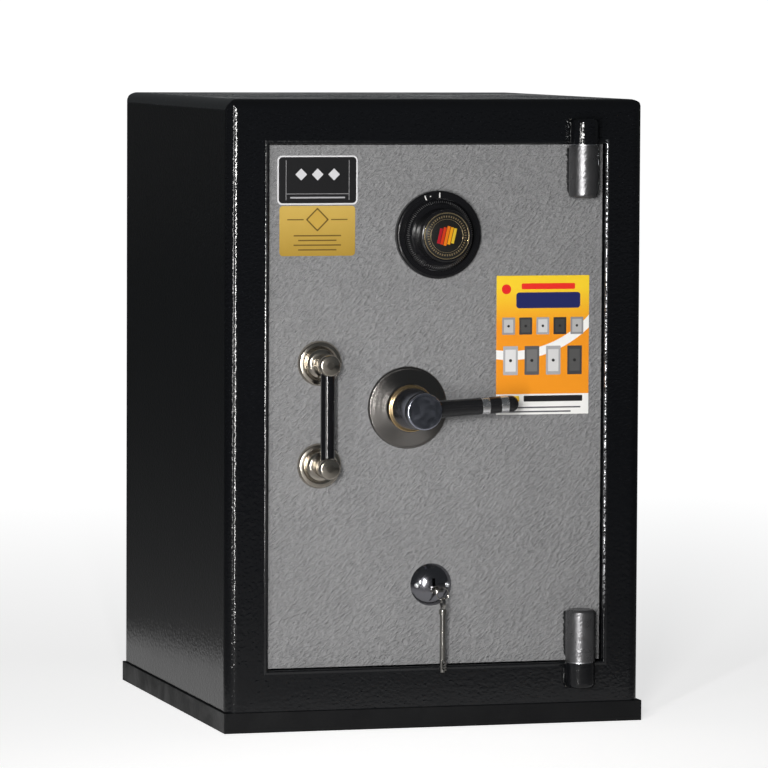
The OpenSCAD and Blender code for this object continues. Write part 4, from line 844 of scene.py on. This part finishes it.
# The pull handle: two stepped rosettes on the door, and on each a neck with a round head, all
# turned from steel and nickel-plated. A straight bar, enamelled black, is pinned between the heads.
pull_x, pull_zs, bar_proud, bar_r = -0.1265, (0.2815, 0.3905), 0.034, 0.0075
nickel, tree, shader = paint("nickel", (0.5, 0.46, 0.4), 0.16, metallic=1.0)
worn(shader, 0.12, 0.24, 60.0)
bar_enamel, tree, shader = paint("bar_enamel", (0.006, 0.006, 0.007), 0.12)
worn(shader, 0.05, 0.1, 40.0)

# the outer ring and the inner one are both domed, with a groove between them
rosette = fillet([(0.0, 0.0), (24.0, 0.0), (24.0, 2.2), (22.4, 4.8), (19.0, 5.5), (16.6, 5.0), (16.3, 4.6),
                  (15.9, 5.4), (15.4, 8.4), (12.6, 10.6), (9.6, 11.0), (0.0, 11.0)],
                 [0, 0.8, 1.8, 2.5, 0.8, 0.2, 0.3, 1.5, 2.5, 0.6])
neck_and_head = fillet([(0.0, 0.0), (9.6, 0.0), (8.9, 12.0), (8.3, 16.0), (8.7, 22.4), (11.1, 25.0), (11.5, 27.0),
                        (11.5, 43.2), (10.2, 45.3), (4.0, 46.0), (0.0, 46.0)],
                       [0, 4.0, 6.0, 3.0, 1.6, 1.0, 1.6, 1.8, 4.0])


def turned_pair(name, profile, replaced):
    """The same turned piece at both ends of the handle, its profile in millimetres."""
    both = bmesh.new()
    for z in pull_zs:
        one = lathe("one", [(r * 0.001, proud * 0.001) for r, proud in profile], (pull_x, door_face, z))
        both.from_mesh(one)
        bpy.data.meshes.remove(one)
    mounted(name, kept(both, name), nickel, "door", replaced)


turned_pair("pull_rosettes_turned", rosette, ("pull_rosettes",))
turned_pair("pull_heads_turned", neck_and_head, ("pull_handle",))
bar_length = pull_zs[1] - pull_zs[0]
bar = lathe("pull_bar", [(0.0, 0.0), (bar_r, 0.0), (bar_r, bar_length), (0.0, bar_length)], (0, 0, 0), 48)
bar.transform(Matrix.Translation((pull_x, door_face - bar_proud, pull_zs[0])) @ Matrix.Rotation(
    radians(-90), 4, "X"))
mounted("pull_bar", bar, bar_enamel, "door")


# The studio: a pale paper floor running back to a low wall, one soft lamp at the front, and two tall
# strip lights that draw the highlights on rounded edges: one close before the cabinet, one at its
# left. The camera sees white paper all round, polished pieces only the part before and behind them.
yaw, pitch, roll = radians(16.055), radians(4.020), radians(0.285)
stand = Vector((-1.6039, -5.6039, 0.7610))
focal_px, image_px = 5282, 768
# the pool of floor: how far beside the view and how far from the camera it starts, and the shares mirrored
pool_edge, pool_start, pool_share, room_share = (0.09, 0.01), (5.3, 5.42), 0.4, 0.05
black, white, warm = (0.0, 0.0, 0.0), (1.0, 1.0, 1.0), (1.0, 0.985, 0.97)


def shown(tree, mirrored):
    """How much of its white a backdrop shows: all to the camera, a share to polished and clear pieces."""
    seen = wire(tree, "ShaderNodeLightPath").outputs
    return maths(tree, "MAXIMUM", seen["Is Camera Ray"], maths(
        tree, "MULTIPLY", maths(tree, "MAXIMUM", seen["Is Glossy Ray"], seen["Is Transmission Ray"]), mirrored))


paper, tree, shader = paint("studio_paper", (0.8, 0.8, 0.8), 0.9, specular=0.1)
tree.links.new(tint(tree, noise(tree, here(tree), 3.0), (0.79, 0.79, 0.79), (0.81, 0.81, 0.81)),
               shader.inputs["Base Color"])
# the part that polished pieces mirror widens away from the camera like its view, from before the plinth
from_stand = vectors(tree, "SUBTRACT", here(tree), stand)
away, across = (wire(tree, "ShaderNodeVectorMath", {0: from_stand, 1: direction},
                     operation="DOT_PRODUCT").outputs["Value"] for direction in (
    (sin(yaw), cos(yaw), 0.0), (cos(yaw), -sin(yaw), 0.0)))
beside = maths(tree, "MULTIPLY_ADD", away, -image_px / 2 / focal_px, maths(tree, "ABSOLUTE", across))
in_pool = maths(tree, "MULTIPLY", spread(tree, beside, *pool_edge), spread(tree, away, *pool_start))
direct = shown(tree, maths(tree, "MULTIPLY", in_pool, pool_share))
# it is a little weaker near the cabinet, where the lamps add to it and the shadow falls
glow = spread(tree, away, 6.2, 8.5, 0.72, 1.0)
tree.links.new(tint(tree, maths(tree, "MULTIPLY", direct, glow), black, white), shader.inputs["Emission Color"])
shader.inputs["Emission Strength"].default_value = 1.0

room = bmesh.new()
sides, front_end, back_end, cove, height = 9.0, -9.0, 12.0, 0.3, 0.83
sweep = [(front_end, 0.0)] + [
    (back_end - cove + cove * sin(radians(a)), cove - cove * cos(radians(a)))
    for a in range(0, 91, 10)] + [(back_end, height)]
rows = [[room.verts.new((x, y, z)) for x in (-sides, sides)] for y, z in sweep]
for near, far in zip(rows, rows[1:]):
    room.faces.new((near[0], near[1], far[1], far[0]))
sweep_mesh = kept(room, "studio_sweep")
sweep_mesh.materials.append(paper)
sweep_mesh.shade_smooth()
sweep_object = added("studio_sweep", sweep_mesh)

world = bpy.data.worlds.new("studio")
bpy.context.scene.world = world
world.use_nodes = True
# the dim room lights the cabinet, and the camera sees it white like the paper
tree, room_light = world.node_tree, world.node_tree.nodes["Background"]
direct = shown(tree, room_share)
tree.links.new(tint(tree, direct, (0.9, 0.96, 1.0), white), room_light.inputs["Color"])
tree.links.new(spread(tree, direct, 0.0, 1.0, 0.03, 1.0), room_light.inputs["Strength"])


def soft_lamp(name, place_at, aim_at, width, height, watts, spread_angle=180):
    """An area lamp at a place, turned to face a point."""
    lamp = bpy.data.lights.new(name, "AREA")
    lamp.shape = "RECTANGLE"
    lamp.size, lamp.size_y = width, height
    lamp.energy = watts
    lamp.color = warm
    lamp.spread = radians(spread_angle)
    made = added(name, lamp)
    made.location = place_at
    made.visible_camera = False
    made.rotation_euler = (Vector(aim_at) - Vector(place_at)).to_track_quat("-Z", "Y").to_euler()


soft_lamp("front_lamp", (-1.5, -4.2, 0.95), (0.0, -0.2, 0.35), 0.4, 0.5, 13, 70)
soft_lamp("near_strip", (-0.55, -1.4, 0.34), (0.0, -0.2, 0.34), 0.03, 0.66, 2.8, 100)
soft_lamp("side_strip", (-1.9, -2.3, 0.43), (0.0, -0.2, 0.4), 0.1, 0.82, 9)

# The camera stands where the photograph was taken: 5.6 m from the door, to its left and slightly
# above the top, looking down by four degrees.
ahead = Vector((sin(yaw) * cos(pitch), cos(yaw) * cos(pitch), -sin(pitch)))
level = Vector((cos(yaw), -sin(yaw), 0.0))
upward = level.cross(ahead)
right = level * cos(roll) + upward * sin(roll)
above = upward * cos(roll) - level * sin(roll)
lens = bpy.data.cameras.new("camera")
lens.sensor_width = 36.0
lens.lens = lens.sensor_width * focal_px / image_px
lens.clip_start, lens.clip_end = 0.1, 100.0
camera = added("camera", lens)
camera.matrix_world = Matrix.Translation(stand) @ Matrix((right, above, -ahead)).transposed().to_4x4()
bpy.context.scene.camera = camera
bpy.context.scene.view_settings.view_transform = "Standard"
